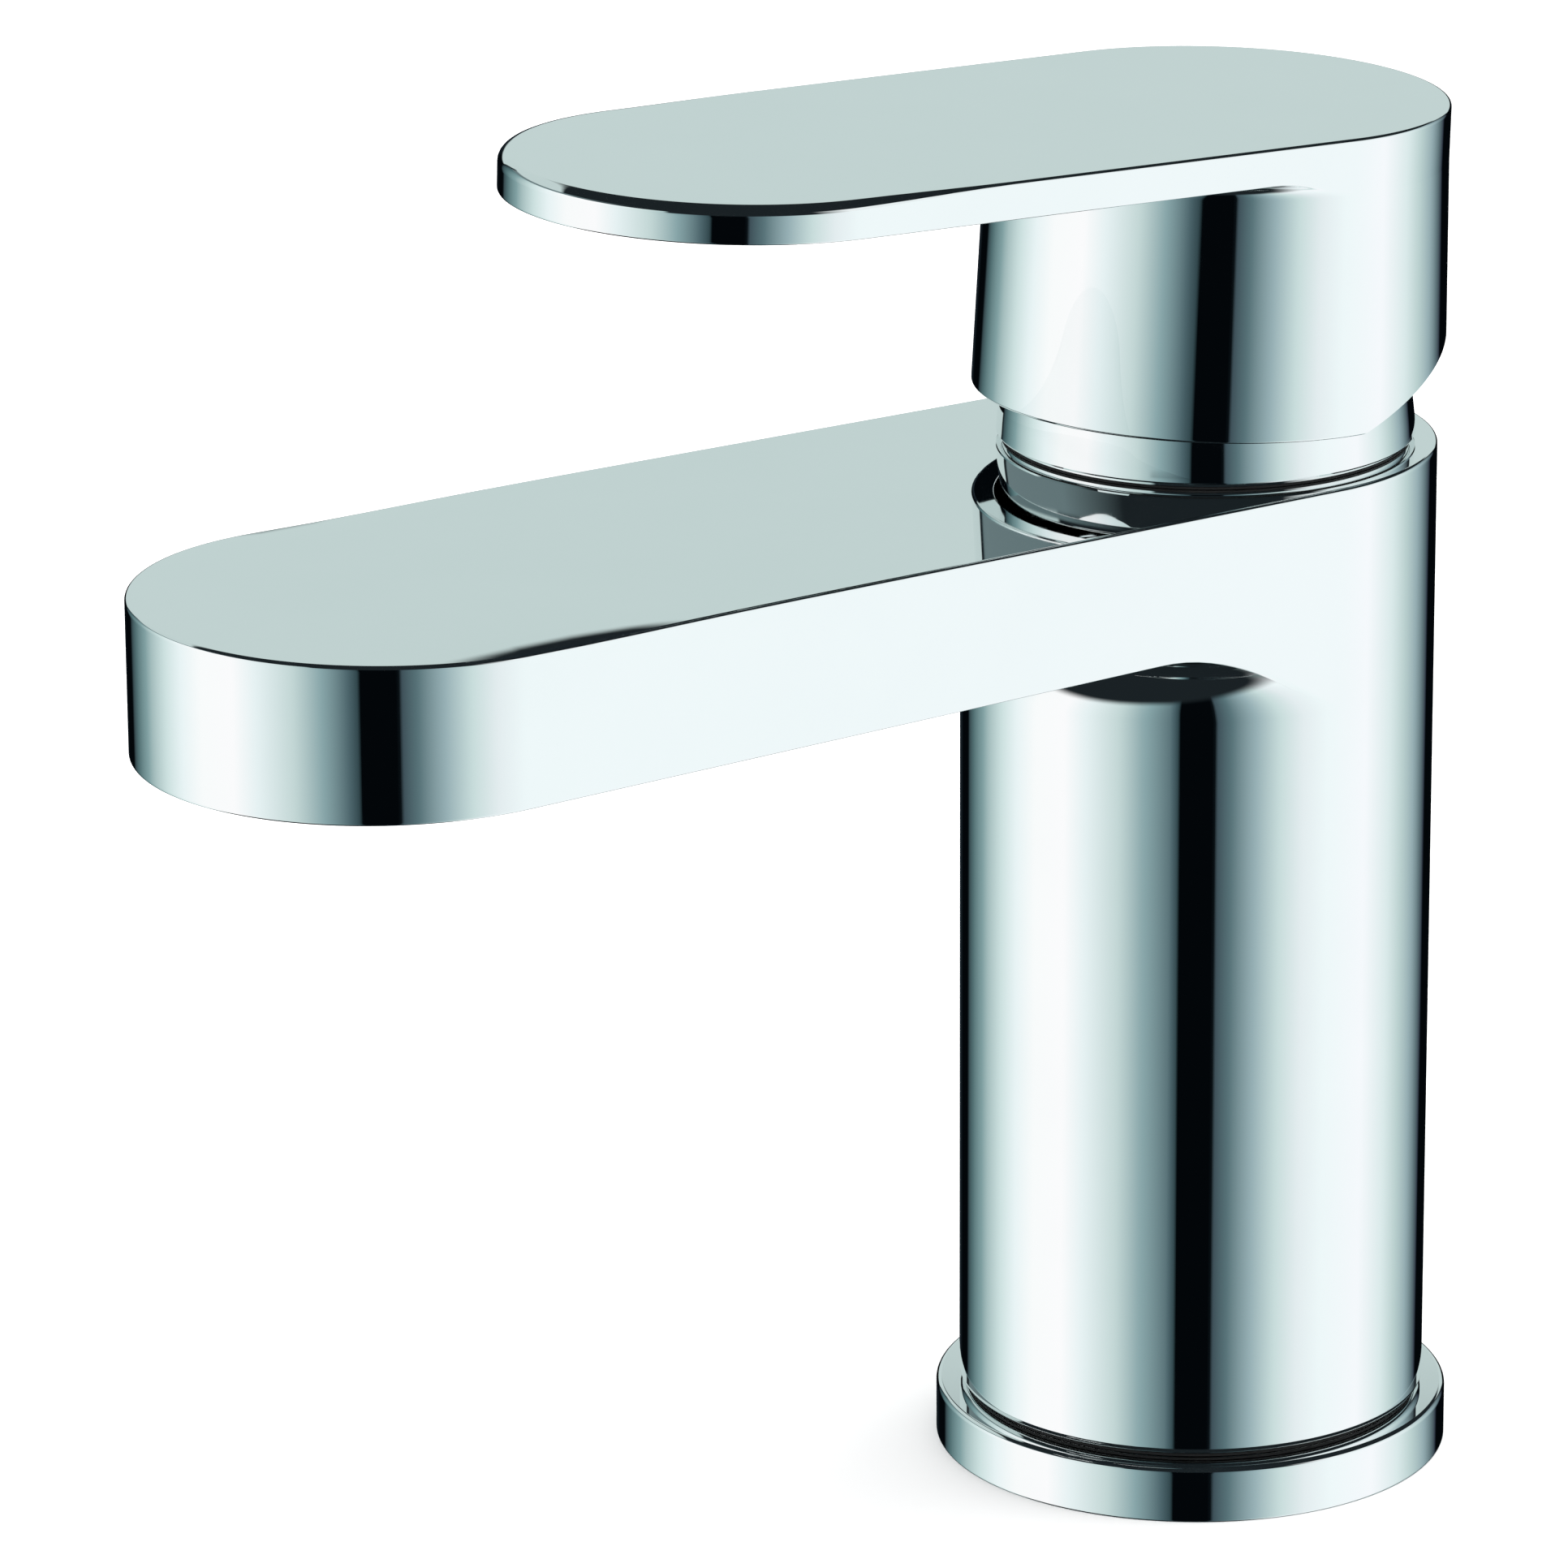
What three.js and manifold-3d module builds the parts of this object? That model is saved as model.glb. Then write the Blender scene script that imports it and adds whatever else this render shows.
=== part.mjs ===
// Single-lever bathroom basin mixer, in millimetres, +Z up.
// The origin is the centre of the base's underside, on the column's axis. The spout and the lever point to -Y,
// and the whole tap is symmetric about the plane X = 0.
import * as THREE from "three";
import { mergeVertices } from "three/addons/utils/BufferGeometryUtils.js";
import Module from "manifold-3d";

const wasm = await Module();
wasm.setup();

// ---- Driving dimensions ----

// Facets round a full circle, for large, middle and small rounds.
const LARGE = 48;
const MIDDLE = 24;
const SMALL = 12;
const HEXAGON = 6;
const FILLET_STEPS = 4;

// Column and spout.
const COLUMN_R = 22.5;
const TOP_Z = 100.4;
const FOOT_Z = 6.3;
const FOOT_ROUND = 0.6;
const SPIGOT_R = 21.2;
const SPIGOT_Z = 2.6;
const SPOUT_TIP_R = 23.4;
const SPOUT_TIP_Y = -89.5;
const SPOUT_UNDER_Z = 87.2;
const SPOUT_UNDER_SLOPE = 0.0135;
const SPOUT_BLOCK_Z = 78;
const SPOUT_FILLET = 8;
const SPOUT_FILLET_TOP_Z = 86.84;

// Upper works: the cartridge, the trim ring and the lever share one axis, just behind the column's.
const AXIS_Y = 0.8;

// Bores of the body.
const BORE_R = 17.8;
const BORE_FLOOR_Z = 66.5;
const THREAD_BORE_R = 18.9;
const THREAD_BORE_Z = 94.5;
const RECESS_R = 17.5;
const RECESS_TOP_Z = 42;
const PORT_X = 7.5;
const PORT_Y = -4.2;
const PORT_R = 3.2;
const HOSE_R = 5;
const HOSE_TOP_Z = 52;
const STUD_R = 3.4;
const STUD_Y = 9.5;
const STUD_TOP_Z = 56;

// Waterway from the cartridge into the spout.
const RISER_HALF_X = 5;
const RISER_FRONT_Y = -20.6;
const RISER_FOOT_Z = 68;
const RISER_TOP_Z = 91.5;
const THROAT_FRONT_Y = -30;
const THROAT_Z = 88.9;
const CHANNEL_HALF_X = 13;
const CHANNEL_BACK_Y = -23;
const CHANNEL_FRONT_Y = -96;
const CHANNEL_Z = [89, 97.6];

// Aerator.
const AERATOR_Y = -90;
const AERATOR_BORE_R = 12.1;
const AERATOR_BORE_TOP_Z = 94.6;
const AERATOR_SHELL_R = 11.8;
const AERATOR_SHELL_BORE_R = 10.5;
const AERATOR_SHELL_Z = [86.3, 92.4];
const AERATOR_NOTCH = 2;
const AERATOR_NOTCH_DEPTH = 1;
const SCREEN_R = 10.2;
const SCREEN_Z = [86.9, 88];
const SCREEN_HOLE_R = 1.7;
const SCREEN_PITCH = 4;
const SCREEN_RINGS = 2;
const REGULATOR_Z = [88.3, 92.4];
const REGULATOR_WALL = 1.5;
const REGULATOR_HOLE_R = 2;
const WASHER_Z = [92.7, 94.3];
const WASHER_BORE_R = 8.8;

// Base ring and its seals.
const RING_R = 24.75;
const RING_BORE_R = 21.6;
const RING_TOP_Z = 5.5;
const RING_ROUND = 0.5;
const GASKET_BORE_R = 17.8;
const GASKET_TOP_Z = 2.3;
const FOOT_SEAL_R = [21.4, 22.2];
const FOOT_SEAL_Z = [5.6, 6.2];

// Trim ring round the top of the cartridge: foot, band and dome, as radius and height.
const TRIM_OUTSIDE = [
  [19.2, 100.7],
  [19.2, 101],
  [19.6, 101],
  [19.8, 101.3],
  [19.6, 103.2],
  [19.3, 105.4],
  [18.6, 107.2],
  [17.2, 109],
  [15, 110],
];
const TRIM_WALL = 1.1;

// Cartridge.
const NUT_R = 18.6;
const NUT_BORE_R = 13;
const NUT_Z = [95.2, 100.2];
const NUT_HEAD_R = 17.2;
const NUT_HEAD_TOP_Z = 103.4;
const HOUSING_R = 17.4;
const HOUSING_BORE_R = 15.8;
const HOUSING_Z = [75.2, 95];
const NECK_R = 12.6;
const NECK_BORE_R = 10.9;
const NECK_TOP_Z = 107;
const SHOULDER_Z = 90.2;
const GROOVE_R = 16.1;
const GROOVE_Z = [92.1, 94.1];
const O_RING_R = [16.3, 17.6];
const O_RING_Z = [92.3, 93.9];
const BASE_PLATE_Z = [67, 75];
const OUTLET_Y = 7;
const OUTLET_R = 3.4;
const GALLERY_Z = [69, 73];
const GALLERY_HALF_X = 3.4;
const SEAL_R = [3.5, 4.9];
const SEAL_SEAT_R = 5.2;
const PORT_SEAL_Z = [66.7, 68.2];
const PORT_SEAT_TOP_Z = 68.4;
const DISC_SEAL_Z = [74.1, 75.5];
const DISC_SEAT_FLOOR_Z = 73.9;
const FIXED_DISC_R = 15.2;
const FIXED_DISC_Z = [75.7, 79];
const DISC_PORT_R = 2.9;
const MOVING_DISC_R = 11.5;
const MOVING_DISC_Z = [79.15, 82.3];
const CLOSED_SHIFT = 2.3;
const POCKET_HALF_X = 7.5;
const POCKET_Y = [-3.5, 5.8];
const POCKET_TOP_Z = 81.2;
const CARRIER_R = 12.5;
const CARRIER_Z = [82.45, 86];
const SOCKET_R = 3;
const SOCKET_FLOOR_Z = 83.2;
const TURRET_FLANGE_R = 15.4;
const TURRET_FLANGE_Z = [86.3, 90];
const TURRET_R = 10.5;
const TURRET_TOP_Z = 108.2;
const SLOT_HALF_X = 3.9;
const SLOT_NEAR = 4.6;
const SLOT_FAR = 8.8;

// Lever: its pivot, and heights and reaches measured from the pivot in the lever's own frame.
const PIVOT_Z = 98;
const REST_TILT = THREE.MathUtils.degToRad(2);
const PIN_R = 1.5;
const PIN_HOLE_R = 1.75;
const PIN_HALF = 9.6;
const STEM_HALF = 3.5;
const STEM_Z = [-9, 28.4];
const STEM_WAIST_R = 1.6;
const BALL_Z = -12;
const BALL_R = 2.5;
const HUB_R = [22.35, 21.7];
const HUB_Z = [7.2, 31.7];
const PLATE_TOP_Z = 35.2;
const PLATE_ROUND = 0.5;
const PLATE_TIP_R = 21.3;
const PLATE_TIP_Y = -54.3;
const PLATE_FILLET = 2;
const HOLLOW_R = [20.2, 19.4];
const HOLLOW_TOP_Z = 32;
const BACK_CUT_Y = 1.5;
const BACK_CUT_ANGLE = THREE.MathUtils.degToRad(21);
const BOSS_R = 7.5;
const BOSS_FOOT_Z = 17.2;
const SQUARE_HALF = 3.75;
const SQUARE_TOP_Z = 28.8;
const RIB_HALF = 4.5;
const SCREW_Z = 23;
const SCREW_R = 2.4;
const SCREW_HOLE_R = 2.7;
const SCREW_Y = [3.9, 12];
const SCREW_SOCKET_R = 1.3;
const SCREW_SOCKET_DEPTH = 4;
const PLUG_R = 3.1;
const PLUG_SEAT_R = 3.4;
const PLUG_Y = [20, 21.6];
const PLUG_GAP = 0.3;

// Extra length that takes a cutting shape clear of a surface.
const CLEAR = 1;
const FAR = 60;
const SPOUT_REACH = 180;

// Vertices closer than this are one vertex.
const MERGE_DISTANCE = 1e-4;

// ---- Finishes ----

const FINISHES = {
  chrome: { color: 0xe4e9e9, metalness: 1, roughness: 0.04 },
  brass: { color: 0xc9a352, metalness: 1, roughness: 0.35 },
  steel: { color: 0xb9bcc0, metalness: 1, roughness: 0.3 },
  rubber: { color: 0x17181a, metalness: 0, roughness: 0.8 },
  housing: { color: 0xd9dcd8, metalness: 0, roughness: 0.45 },
  carrier: { color: 0x4a6f96, metalness: 0, roughness: 0.45 },
  ceramic: { color: 0xf1eee6, metalness: 0, roughness: 0.15 },
  insert: { color: 0xd3d6da, metalness: 0, roughness: 0.4 },
};

const faucet = new THREE.Group();
const lever = new THREE.Group();
lever.position.set(0, AXIS_Y, PIVOT_Z);
lever.rotation.x = -REST_TILT;
faucet.add(lever);

function addPiece(group, name, shape, finish) {
  const material = new THREE.MeshStandardMaterial(FINISHES[finish]);
  const mesh = new THREE.Mesh(toGeometry(shape), material);
  mesh.name = name;
  group.add(mesh);
}

// ---- Solids ----

// A closed three.js geometry as a solid, with its repeated vertices merged and its collapsed faces dropped.
function toSolid(geometry) {
  const bare = geometry.clone();
  bare.deleteAttribute("normal");
  bare.deleteAttribute("uv");
  const merged = mergeVertices(bare, MERGE_DISTANCE);
  const corners = [];
  for (let i = 0; i < merged.index.count; i += 3) {
    const [a, b, c] = [0, 1, 2].map((k) => merged.index.getX(i + k));
    if (a !== b && b !== c && c !== a) {
      corners.push(a, b, c);
    }
  }
  return new wasm.Manifold(
    new wasm.Mesh({
      numProp: 3,
      vertProperties: new Float32Array(merged.attributes.position.array),
      triVerts: new Uint32Array(corners),
    }),
  );
}

function toGeometry(shape) {
  const mesh = shape.getMesh();
  const geometry = new THREE.BufferGeometry();
  geometry.setAttribute("position", new THREE.BufferAttribute(mesh.vertProperties, mesh.numProp));
  geometry.setIndex(new THREE.BufferAttribute(mesh.triVerts, 1));
  geometry.computeVertexNormals();
  return geometry;
}

function join(...shapes) {
  return shapes.reduce((all, shape) => all.add(shape));
}

function cut(shape, ...tools) {
  return tools.reduce((rest, tool) => rest.subtract(tool), shape);
}

// A profile of [radius, height] points, anticlockwise, turned about a vertical axis at y.
function turned(profile, y = 0, facets = LARGE) {
  const points = [...profile, profile[0]].map(([r, z]) => new THREE.Vector2(r, z));
  const geometry = new THREE.LatheGeometry(points, facets);
  geometry.rotateX(Math.PI / 2);
  geometry.translate(0, y, 0);
  return toSolid(geometry);
}

function ring([inner, outer], [low, high], y = 0, facets = LARGE) {
  const profile = [
    [inner, low],
    [outer, low],
    [outer, high],
    [inner, high],
  ];
  return turned(profile, y, facets);
}

function rod(radius, [low, high], x = 0, y = 0, facets = MIDDLE) {
  const geometry = new THREE.CylinderGeometry(radius, radius, high - low, facets);
  geometry.rotateX(Math.PI / 2);
  geometry.translate(x, y, (low + high) / 2);
  return toSolid(geometry);
}

function rodAlongX(radius, half, z, facets = SMALL) {
  const geometry = new THREE.CylinderGeometry(radius, radius, 2 * half, facets);
  geometry.rotateZ(Math.PI / 2);
  geometry.translate(0, 0, z);
  return toSolid(geometry);
}

function rodAlongY(radius, [near, far], z, facets = SMALL) {
  const geometry = new THREE.CylinderGeometry(radius, radius, far - near, facets);
  geometry.translate(0, (near + far) / 2, z);
  return toSolid(geometry);
}

function block(halfX, [near, far], [low, high]) {
  const geometry = new THREE.BoxGeometry(2 * halfX, far - near, high - low);
  geometry.translate(0, (near + far) / 2, (low + high) / 2);
  return toSolid(geometry);
}

// A block whose top face is the plane through (y, z) that climbs towards +Y at the angle.
function underPlane(y, z, angle, reach) {
  const geometry = new THREE.BoxGeometry(2 * FAR, 2 * reach, reach);
  geometry.translate(0, 0, -reach / 2);
  geometry.rotateX(angle);
  geometry.translate(0, y, z);
  return toSolid(geometry);
}

// An outline with straight sides, a round tip of tipRadius at tipY, and a root that is round or tucked in.
function roundEndedOutline(rootRadius, tipRadius, tipY, withRoundRoot) {
  const outline = new THREE.Shape();
  outline.moveTo(rootRadius, 0);
  if (withRoundRoot) {
    outline.absarc(0, 0, rootRadius, 0, Math.PI, false);
  } else {
    outline.lineTo(rootRadius / 2, rootRadius / 2);
    outline.lineTo(-rootRadius / 2, rootRadius / 2);
    outline.lineTo(-rootRadius, 0);
  }
  outline.absarc(0, tipY, tipRadius, Math.PI, 2 * Math.PI, false);
  outline.closePath();
  return outline;
}

// A concave fillet between a wall of radius wall and a flat underside at height top.
function concaveFillet(wall, top, radius) {
  const arc = [];
  for (let i = 0; i <= FILLET_STEPS; i += 1) {
    const angle = (Math.PI / 2) * (i / FILLET_STEPS);
    arc.push([wall + radius * (1 - Math.cos(angle)), top - radius * (1 - Math.sin(angle))]);
  }
  const inside = wall - CLEAR;
  return turned([[inside, top - radius], ...arc, [wall + radius, top + CLEAR], [inside, top + CLEAR]]);
}

function plate(outline, [low, high], round = 0) {
  const geometry = new THREE.ExtrudeGeometry(outline, {
    depth: high - low - 2 * round,
    bevelEnabled: round > 0,
    bevelThickness: round,
    bevelSize: round,
    bevelOffset: -round,
    bevelSegments: 1,
    curveSegments: LARGE / 2,
  });
  geometry.translate(0, 0, low + round);
  return toSolid(geometry);
}

// ---- Body and base ----

function bodyShell() {
  const column = turned([
    [0, SPIGOT_Z],
    [SPIGOT_R, SPIGOT_Z],
    [SPIGOT_R, FOOT_Z],
    [COLUMN_R - FOOT_ROUND, FOOT_Z],
    [COLUMN_R, FOOT_Z + FOOT_ROUND],
    [COLUMN_R, TOP_Z],
    [0, TOP_Z],
  ]);
  const outline = roundEndedOutline(COLUMN_R, SPOUT_TIP_R, SPOUT_TIP_Y, false);
  const spout = plate(outline, [SPOUT_BLOCK_Z, TOP_Z]);
  const underside = underPlane(0, SPOUT_UNDER_Z, Math.atan(SPOUT_UNDER_SLOPE), SPOUT_REACH);
  const fillet = concaveFillet(COLUMN_R, SPOUT_FILLET_TOP_Z, SPOUT_FILLET).intersect(spout);
  return join(column, cut(spout, underside), fillet);
}

function inletBores() {
  return [-PORT_X, PORT_X].map((x) =>
    join(
      rod(HOSE_R, [RECESS_TOP_Z - CLEAR, HOSE_TOP_Z], x, PORT_Y),
      rod(PORT_R, [HOSE_TOP_Z - CLEAR, BORE_FLOOR_Z + CLEAR], x, PORT_Y),
    ),
  );
}

function waterway() {
  const riser = block(RISER_HALF_X, [RISER_FRONT_Y, AXIS_Y], [RISER_FOOT_Z, RISER_TOP_Z]);
  const throat = block(RISER_HALF_X, [THROAT_FRONT_Y, AXIS_Y], [THROAT_Z, RISER_TOP_Z]);
  const channel = block(CHANNEL_HALF_X, [CHANNEL_FRONT_Y, CHANNEL_BACK_Y], CHANNEL_Z);
  const outlet = rod(AERATOR_BORE_R, [SPOUT_BLOCK_Z, AERATOR_BORE_TOP_Z], 0, AERATOR_Y);
  return join(riser, throat, channel, outlet);
}

function body() {
  return cut(
    bodyShell(),
    rod(BORE_R, [BORE_FLOOR_Z, TOP_Z + CLEAR], 0, AXIS_Y, LARGE),
    rod(THREAD_BORE_R, [THREAD_BORE_Z, TOP_Z + CLEAR], 0, AXIS_Y, LARGE),
    rod(RECESS_R, [SPIGOT_Z - CLEAR, RECESS_TOP_Z], 0, 0, LARGE),
    rod(STUD_R, [RECESS_TOP_Z - CLEAR, STUD_TOP_Z], 0, STUD_Y),
    waterway(),
    ...inletBores(),
  );
}

function baseRing() {
  return turned([
    [RING_BORE_R, 0],
    [RING_R - RING_ROUND, 0],
    [RING_R, RING_ROUND],
    [RING_R, RING_TOP_Z - RING_ROUND],
    [RING_R - RING_ROUND, RING_TOP_Z],
    [RING_BORE_R, RING_TOP_Z],
  ]);
}

function trimRing() {
  const inside = TRIM_OUTSIDE.filter(([, z]) => z !== TRIM_OUTSIDE[1][1])
    .map(([r, z]) => [r - TRIM_WALL, z])
    .reverse();
  return turned([...TRIM_OUTSIDE, ...inside], AXIS_Y);
}

// ---- Cartridge ----

function cartridgeNut() {
  const thread = rod(NUT_R, NUT_Z, 0, AXIS_Y, LARGE);
  const head = rod(NUT_HEAD_R, [NUT_Z[0], NUT_HEAD_TOP_Z], 0, AXIS_Y, HEXAGON);
  const bore = rod(NUT_BORE_R, [NUT_Z[0] - CLEAR, NUT_HEAD_TOP_Z + CLEAR], 0, AXIS_Y, LARGE);
  return cut(join(thread, head), bore);
}

function cartridgeHousing() {
  const profile = [
    [HOUSING_BORE_R, HOUSING_Z[0]],
    [HOUSING_R, HOUSING_Z[0]],
    [HOUSING_R, GROOVE_Z[0]],
    [GROOVE_R, GROOVE_Z[0]],
    [GROOVE_R, GROOVE_Z[1]],
    [HOUSING_R, GROOVE_Z[1]],
    [HOUSING_R, HOUSING_Z[1]],
    [NECK_R, HOUSING_Z[1]],
    [NECK_R, NECK_TOP_Z],
    [NECK_BORE_R, NECK_TOP_Z],
    [NECK_BORE_R, SHOULDER_Z],
    [HOUSING_BORE_R, SHOULDER_Z],
  ];
  return turned(profile, AXIS_Y);
}

// Places of the hot, cold and mixed-water ports.
const PORTS = {
  hot: [-PORT_X, PORT_Y],
  cold: [PORT_X, PORT_Y],
  outlet: [0, OUTLET_Y],
};

function cartridgeBase() {
  const [low, high] = BASE_PLATE_Z;
  const inlets = [PORTS.hot, PORTS.cold].flatMap(([x, y]) => [
    rod(PORT_R, [low - CLEAR, high + CLEAR], x, y, SMALL),
    rod(SEAL_SEAT_R, [low - CLEAR, PORT_SEAT_TOP_Z], x, y, SMALL),
  ]);
  const seats = Object.values(PORTS).map(([x, y]) =>
    rod(SEAL_SEAT_R, [DISC_SEAT_FLOOR_Z, high + CLEAR], x, y, SMALL),
  );
  const drop = rod(OUTLET_R, [GALLERY_Z[0], high + CLEAR], 0, OUTLET_Y, SMALL);
  const gallery = block(GALLERY_HALF_X, [-HOUSING_R - CLEAR, OUTLET_Y], GALLERY_Z);
  return cut(rod(HOUSING_R, BASE_PLATE_Z, 0, AXIS_Y, LARGE), ...inlets, ...seats, drop, gallery);
}

function seal([x, y], heights) {
  const made = ring(SEAL_R, heights, 0, SMALL);
  return made.translate([x, y, 0]);
}

function fixedDisc() {
  const [low, high] = FIXED_DISC_Z;
  const holes = Object.values(PORTS).map(([x, y]) =>
    rod(DISC_PORT_R, [low - CLEAR, high + CLEAR], x, y, SMALL),
  );
  return cut(rod(FIXED_DISC_R, FIXED_DISC_Z, 0, AXIS_Y), ...holes);
}

function movingDisc() {
  const y = AXIS_Y + CLOSED_SHIFT;
  const pocket = block(
    POCKET_HALF_X,
    POCKET_Y.map((edge) => y + edge),
    [MOVING_DISC_Z[0] - CLEAR, POCKET_TOP_Z],
  );
  return cut(rod(MOVING_DISC_R, MOVING_DISC_Z, 0, y), pocket);
}

function discCarrier() {
  const ballY = AXIS_Y + BALL_Z * Math.sin(REST_TILT);
  const socket = rod(SOCKET_R, [SOCKET_FLOOR_Z, CARRIER_Z[1] + CLEAR], 0, ballY, SMALL);
  return cut(rod(CARRIER_R, CARRIER_Z, 0, AXIS_Y + CLOSED_SHIFT), socket);
}

function turret() {
  const flange = rod(TURRET_FLANGE_R, TURRET_FLANGE_Z, 0, AXIS_Y, LARGE);
  const neck = rod(TURRET_R, [TURRET_FLANGE_Z[0], TURRET_TOP_Z], 0, AXIS_Y, LARGE);
  const upper = block(
    SLOT_HALF_X,
    [AXIS_Y - SLOT_NEAR, AXIS_Y + SLOT_FAR],
    [PIVOT_Z, TURRET_TOP_Z + CLEAR],
  );
  const lower = block(
    SLOT_HALF_X,
    [AXIS_Y - SLOT_FAR, AXIS_Y + SLOT_NEAR],
    [TURRET_FLANGE_Z[0] - CLEAR, PIVOT_Z + CLEAR],
  );
  const pinHole = rodAlongX(PIN_HOLE_R, FAR, PIVOT_Z).translate([0, AXIS_Y, 0]);
  return cut(join(flange, neck), upper, lower, pinHole);
}

function pivotPin() {
  return rodAlongX(PIN_R, PIN_HALF, PIVOT_Z).translate([0, AXIS_Y, 0]);
}

// ---- Lever, in its own frame about the pivot ----

function spindle() {
  const stem = block(STEM_HALF, [-STEM_HALF, STEM_HALF], STEM_Z);
  const waist = rod(STEM_WAIST_R, [BALL_Z, STEM_Z[0] + CLEAR], 0, 0, SMALL);
  const ball = toSolid(new THREE.SphereGeometry(BALL_R, SMALL, SMALL / 2).translate(0, 0, BALL_Z));
  return cut(join(stem, waist, ball), rodAlongX(PIN_HOLE_R, FAR, 0));
}

function leverShell() {
  const [foot, under] = HUB_Z;
  const hub = turned([
    [0, foot],
    [HUB_R[0], foot],
    [HUB_R[1], under + CLEAR],
    [0, under + CLEAR],
  ]);
  const hollow = turned([
    [0, foot - CLEAR],
    [HOLLOW_R[0], foot - CLEAR],
    [HOLLOW_R[1], HOLLOW_TOP_Z],
    [0, HOLLOW_TOP_Z],
  ]);
  const outline = roundEndedOutline(HUB_R[1], PLATE_TIP_R, PLATE_TIP_Y, true);
  const blade = plate(outline, [under, PLATE_TOP_Z], PLATE_ROUND);
  const root = plate(outline, [under - PLATE_FILLET, PLATE_TOP_Z - PLATE_ROUND]);
  const fillet = concaveFillet(HUB_R[1], under, PLATE_FILLET).intersect(root);
  return cut(join(hub, blade, fillet), hollow);
}

function leverHandle() {
  const boss = rod(BOSS_R, [BOSS_FOOT_Z, HOLLOW_TOP_Z + CLEAR]);
  const rib = block(RIB_HALF, [0, HOLLOW_R[0]], [SCREW_Z - RIB_HALF, SCREW_Z + RIB_HALF]);
  const square = block(SQUARE_HALF, [-SQUARE_HALF, SQUARE_HALF], [BOSS_FOOT_Z - CLEAR, SQUARE_TOP_Z]);
  const screwHole = rodAlongY(SCREW_HOLE_R, [0, FAR], SCREW_Z);
  const plugSeat = rodAlongY(PLUG_SEAT_R, [PLUG_Y[0] - PLUG_GAP, FAR], SCREW_Z);
  const backCut = underPlane(BACK_CUT_Y, HUB_Z[0], BACK_CUT_ANGLE, FAR);
  return cut(join(leverShell(), boss, rib), square, screwHole, plugSeat, backCut);
}

function grubScrew() {
  const socket = rodAlongY(
    SCREW_SOCKET_R,
    [SCREW_Y[1] - SCREW_SOCKET_DEPTH, SCREW_Y[1] + CLEAR],
    SCREW_Z,
    HEXAGON,
  );
  return cut(rodAlongY(SCREW_R, SCREW_Y, SCREW_Z), socket);
}

// ---- Aerator ----

function aeratorShell() {
  const shell = ring([AERATOR_SHELL_BORE_R, AERATOR_SHELL_R], AERATOR_SHELL_Z, AERATOR_Y);
  const [low] = AERATOR_SHELL_Z;
  const notch = block(AERATOR_NOTCH / 2, [-FAR, FAR], [low - CLEAR, low + AERATOR_NOTCH_DEPTH]);
  const crossed = join(notch, notch.rotate([0, 0, 90])).translate([0, AERATOR_Y, 0]);
  return cut(shell, crossed);
}

function aeratorScreen() {
  const [low, high] = SCREEN_Z;
  let screen = rod(SCREEN_R, SCREEN_Z, 0, AERATOR_Y);
  for (let circle = 0; circle <= SCREEN_RINGS; circle += 1) {
    const count = Math.max(1, HEXAGON * circle);
    for (let i = 0; i < count; i += 1) {
      const angle = (2 * Math.PI * i) / count;
      const x = circle * SCREEN_PITCH * Math.cos(angle);
      const y = AERATOR_Y + circle * SCREEN_PITCH * Math.sin(angle);
      screen = cut(screen, rod(SCREEN_HOLE_R, [low - CLEAR, high + CLEAR], x, y, HEXAGON));
    }
  }
  return screen;
}

function aeratorRegulator() {
  const [low, high] = REGULATOR_Z;
  const wall = SCREEN_R - REGULATOR_WALL;
  const profile = [
    [REGULATOR_HOLE_R, low],
    [SCREEN_R, low],
    [SCREEN_R, high],
    [wall, high],
    [wall, low + REGULATOR_WALL],
    [REGULATOR_HOLE_R, low + REGULATOR_WALL],
  ];
  return turned(profile, AERATOR_Y, MIDDLE);
}

// ---- The tap ----

addPiece(faucet, "body", body(), "chrome");
addPiece(faucet, "base_ring", baseRing(), "chrome");
addPiece(faucet, "base_gasket", ring([GASKET_BORE_R, SPIGOT_R], [0, GASKET_TOP_Z]), "rubber");
addPiece(faucet, "foot_seal", ring(FOOT_SEAL_R, FOOT_SEAL_Z), "rubber");
addPiece(faucet, "trim_ring", trimRing(), "chrome");

addPiece(faucet, "cartridge_nut", cartridgeNut(), "brass");
addPiece(faucet, "cartridge_housing", cartridgeHousing(), "housing");
addPiece(faucet, "housing_o_ring", ring(O_RING_R, O_RING_Z, AXIS_Y), "rubber");
addPiece(faucet, "cartridge_base", cartridgeBase(), "housing");
for (const side of ["hot", "cold"]) {
  addPiece(faucet, `port_seal_${side}`, seal(PORTS[side], PORT_SEAL_Z), "rubber");
}
for (const port of Object.keys(PORTS)) {
  addPiece(faucet, `disc_seal_${port}`, seal(PORTS[port], DISC_SEAL_Z), "rubber");
}
addPiece(faucet, "fixed_disc", fixedDisc(), "ceramic");
addPiece(faucet, "moving_disc", movingDisc(), "ceramic");
addPiece(faucet, "disc_carrier", discCarrier(), "carrier");
addPiece(faucet, "turret", turret(), "carrier");
addPiece(faucet, "pivot_pin", pivotPin(), "steel");

addPiece(lever, "spindle", spindle(), "steel");
addPiece(lever, "lever_handle", leverHandle(), "chrome");
addPiece(lever, "grub_screw", grubScrew(), "steel");
addPiece(lever, "screw_plug", rodAlongY(PLUG_R, PLUG_Y, SCREW_Z, MIDDLE), "insert");

addPiece(faucet, "aerator_shell", aeratorShell(), "chrome");
addPiece(faucet, "aerator_screen", aeratorScreen(), "insert");
addPiece(faucet, "aerator_regulator", aeratorRegulator(), "insert");
addPiece(faucet, "aerator_washer", ring([WASHER_BORE_R, AERATOR_SHELL_R], WASHER_Z, AERATOR_Y, MIDDLE), "rubber");

export default faucet;
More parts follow.
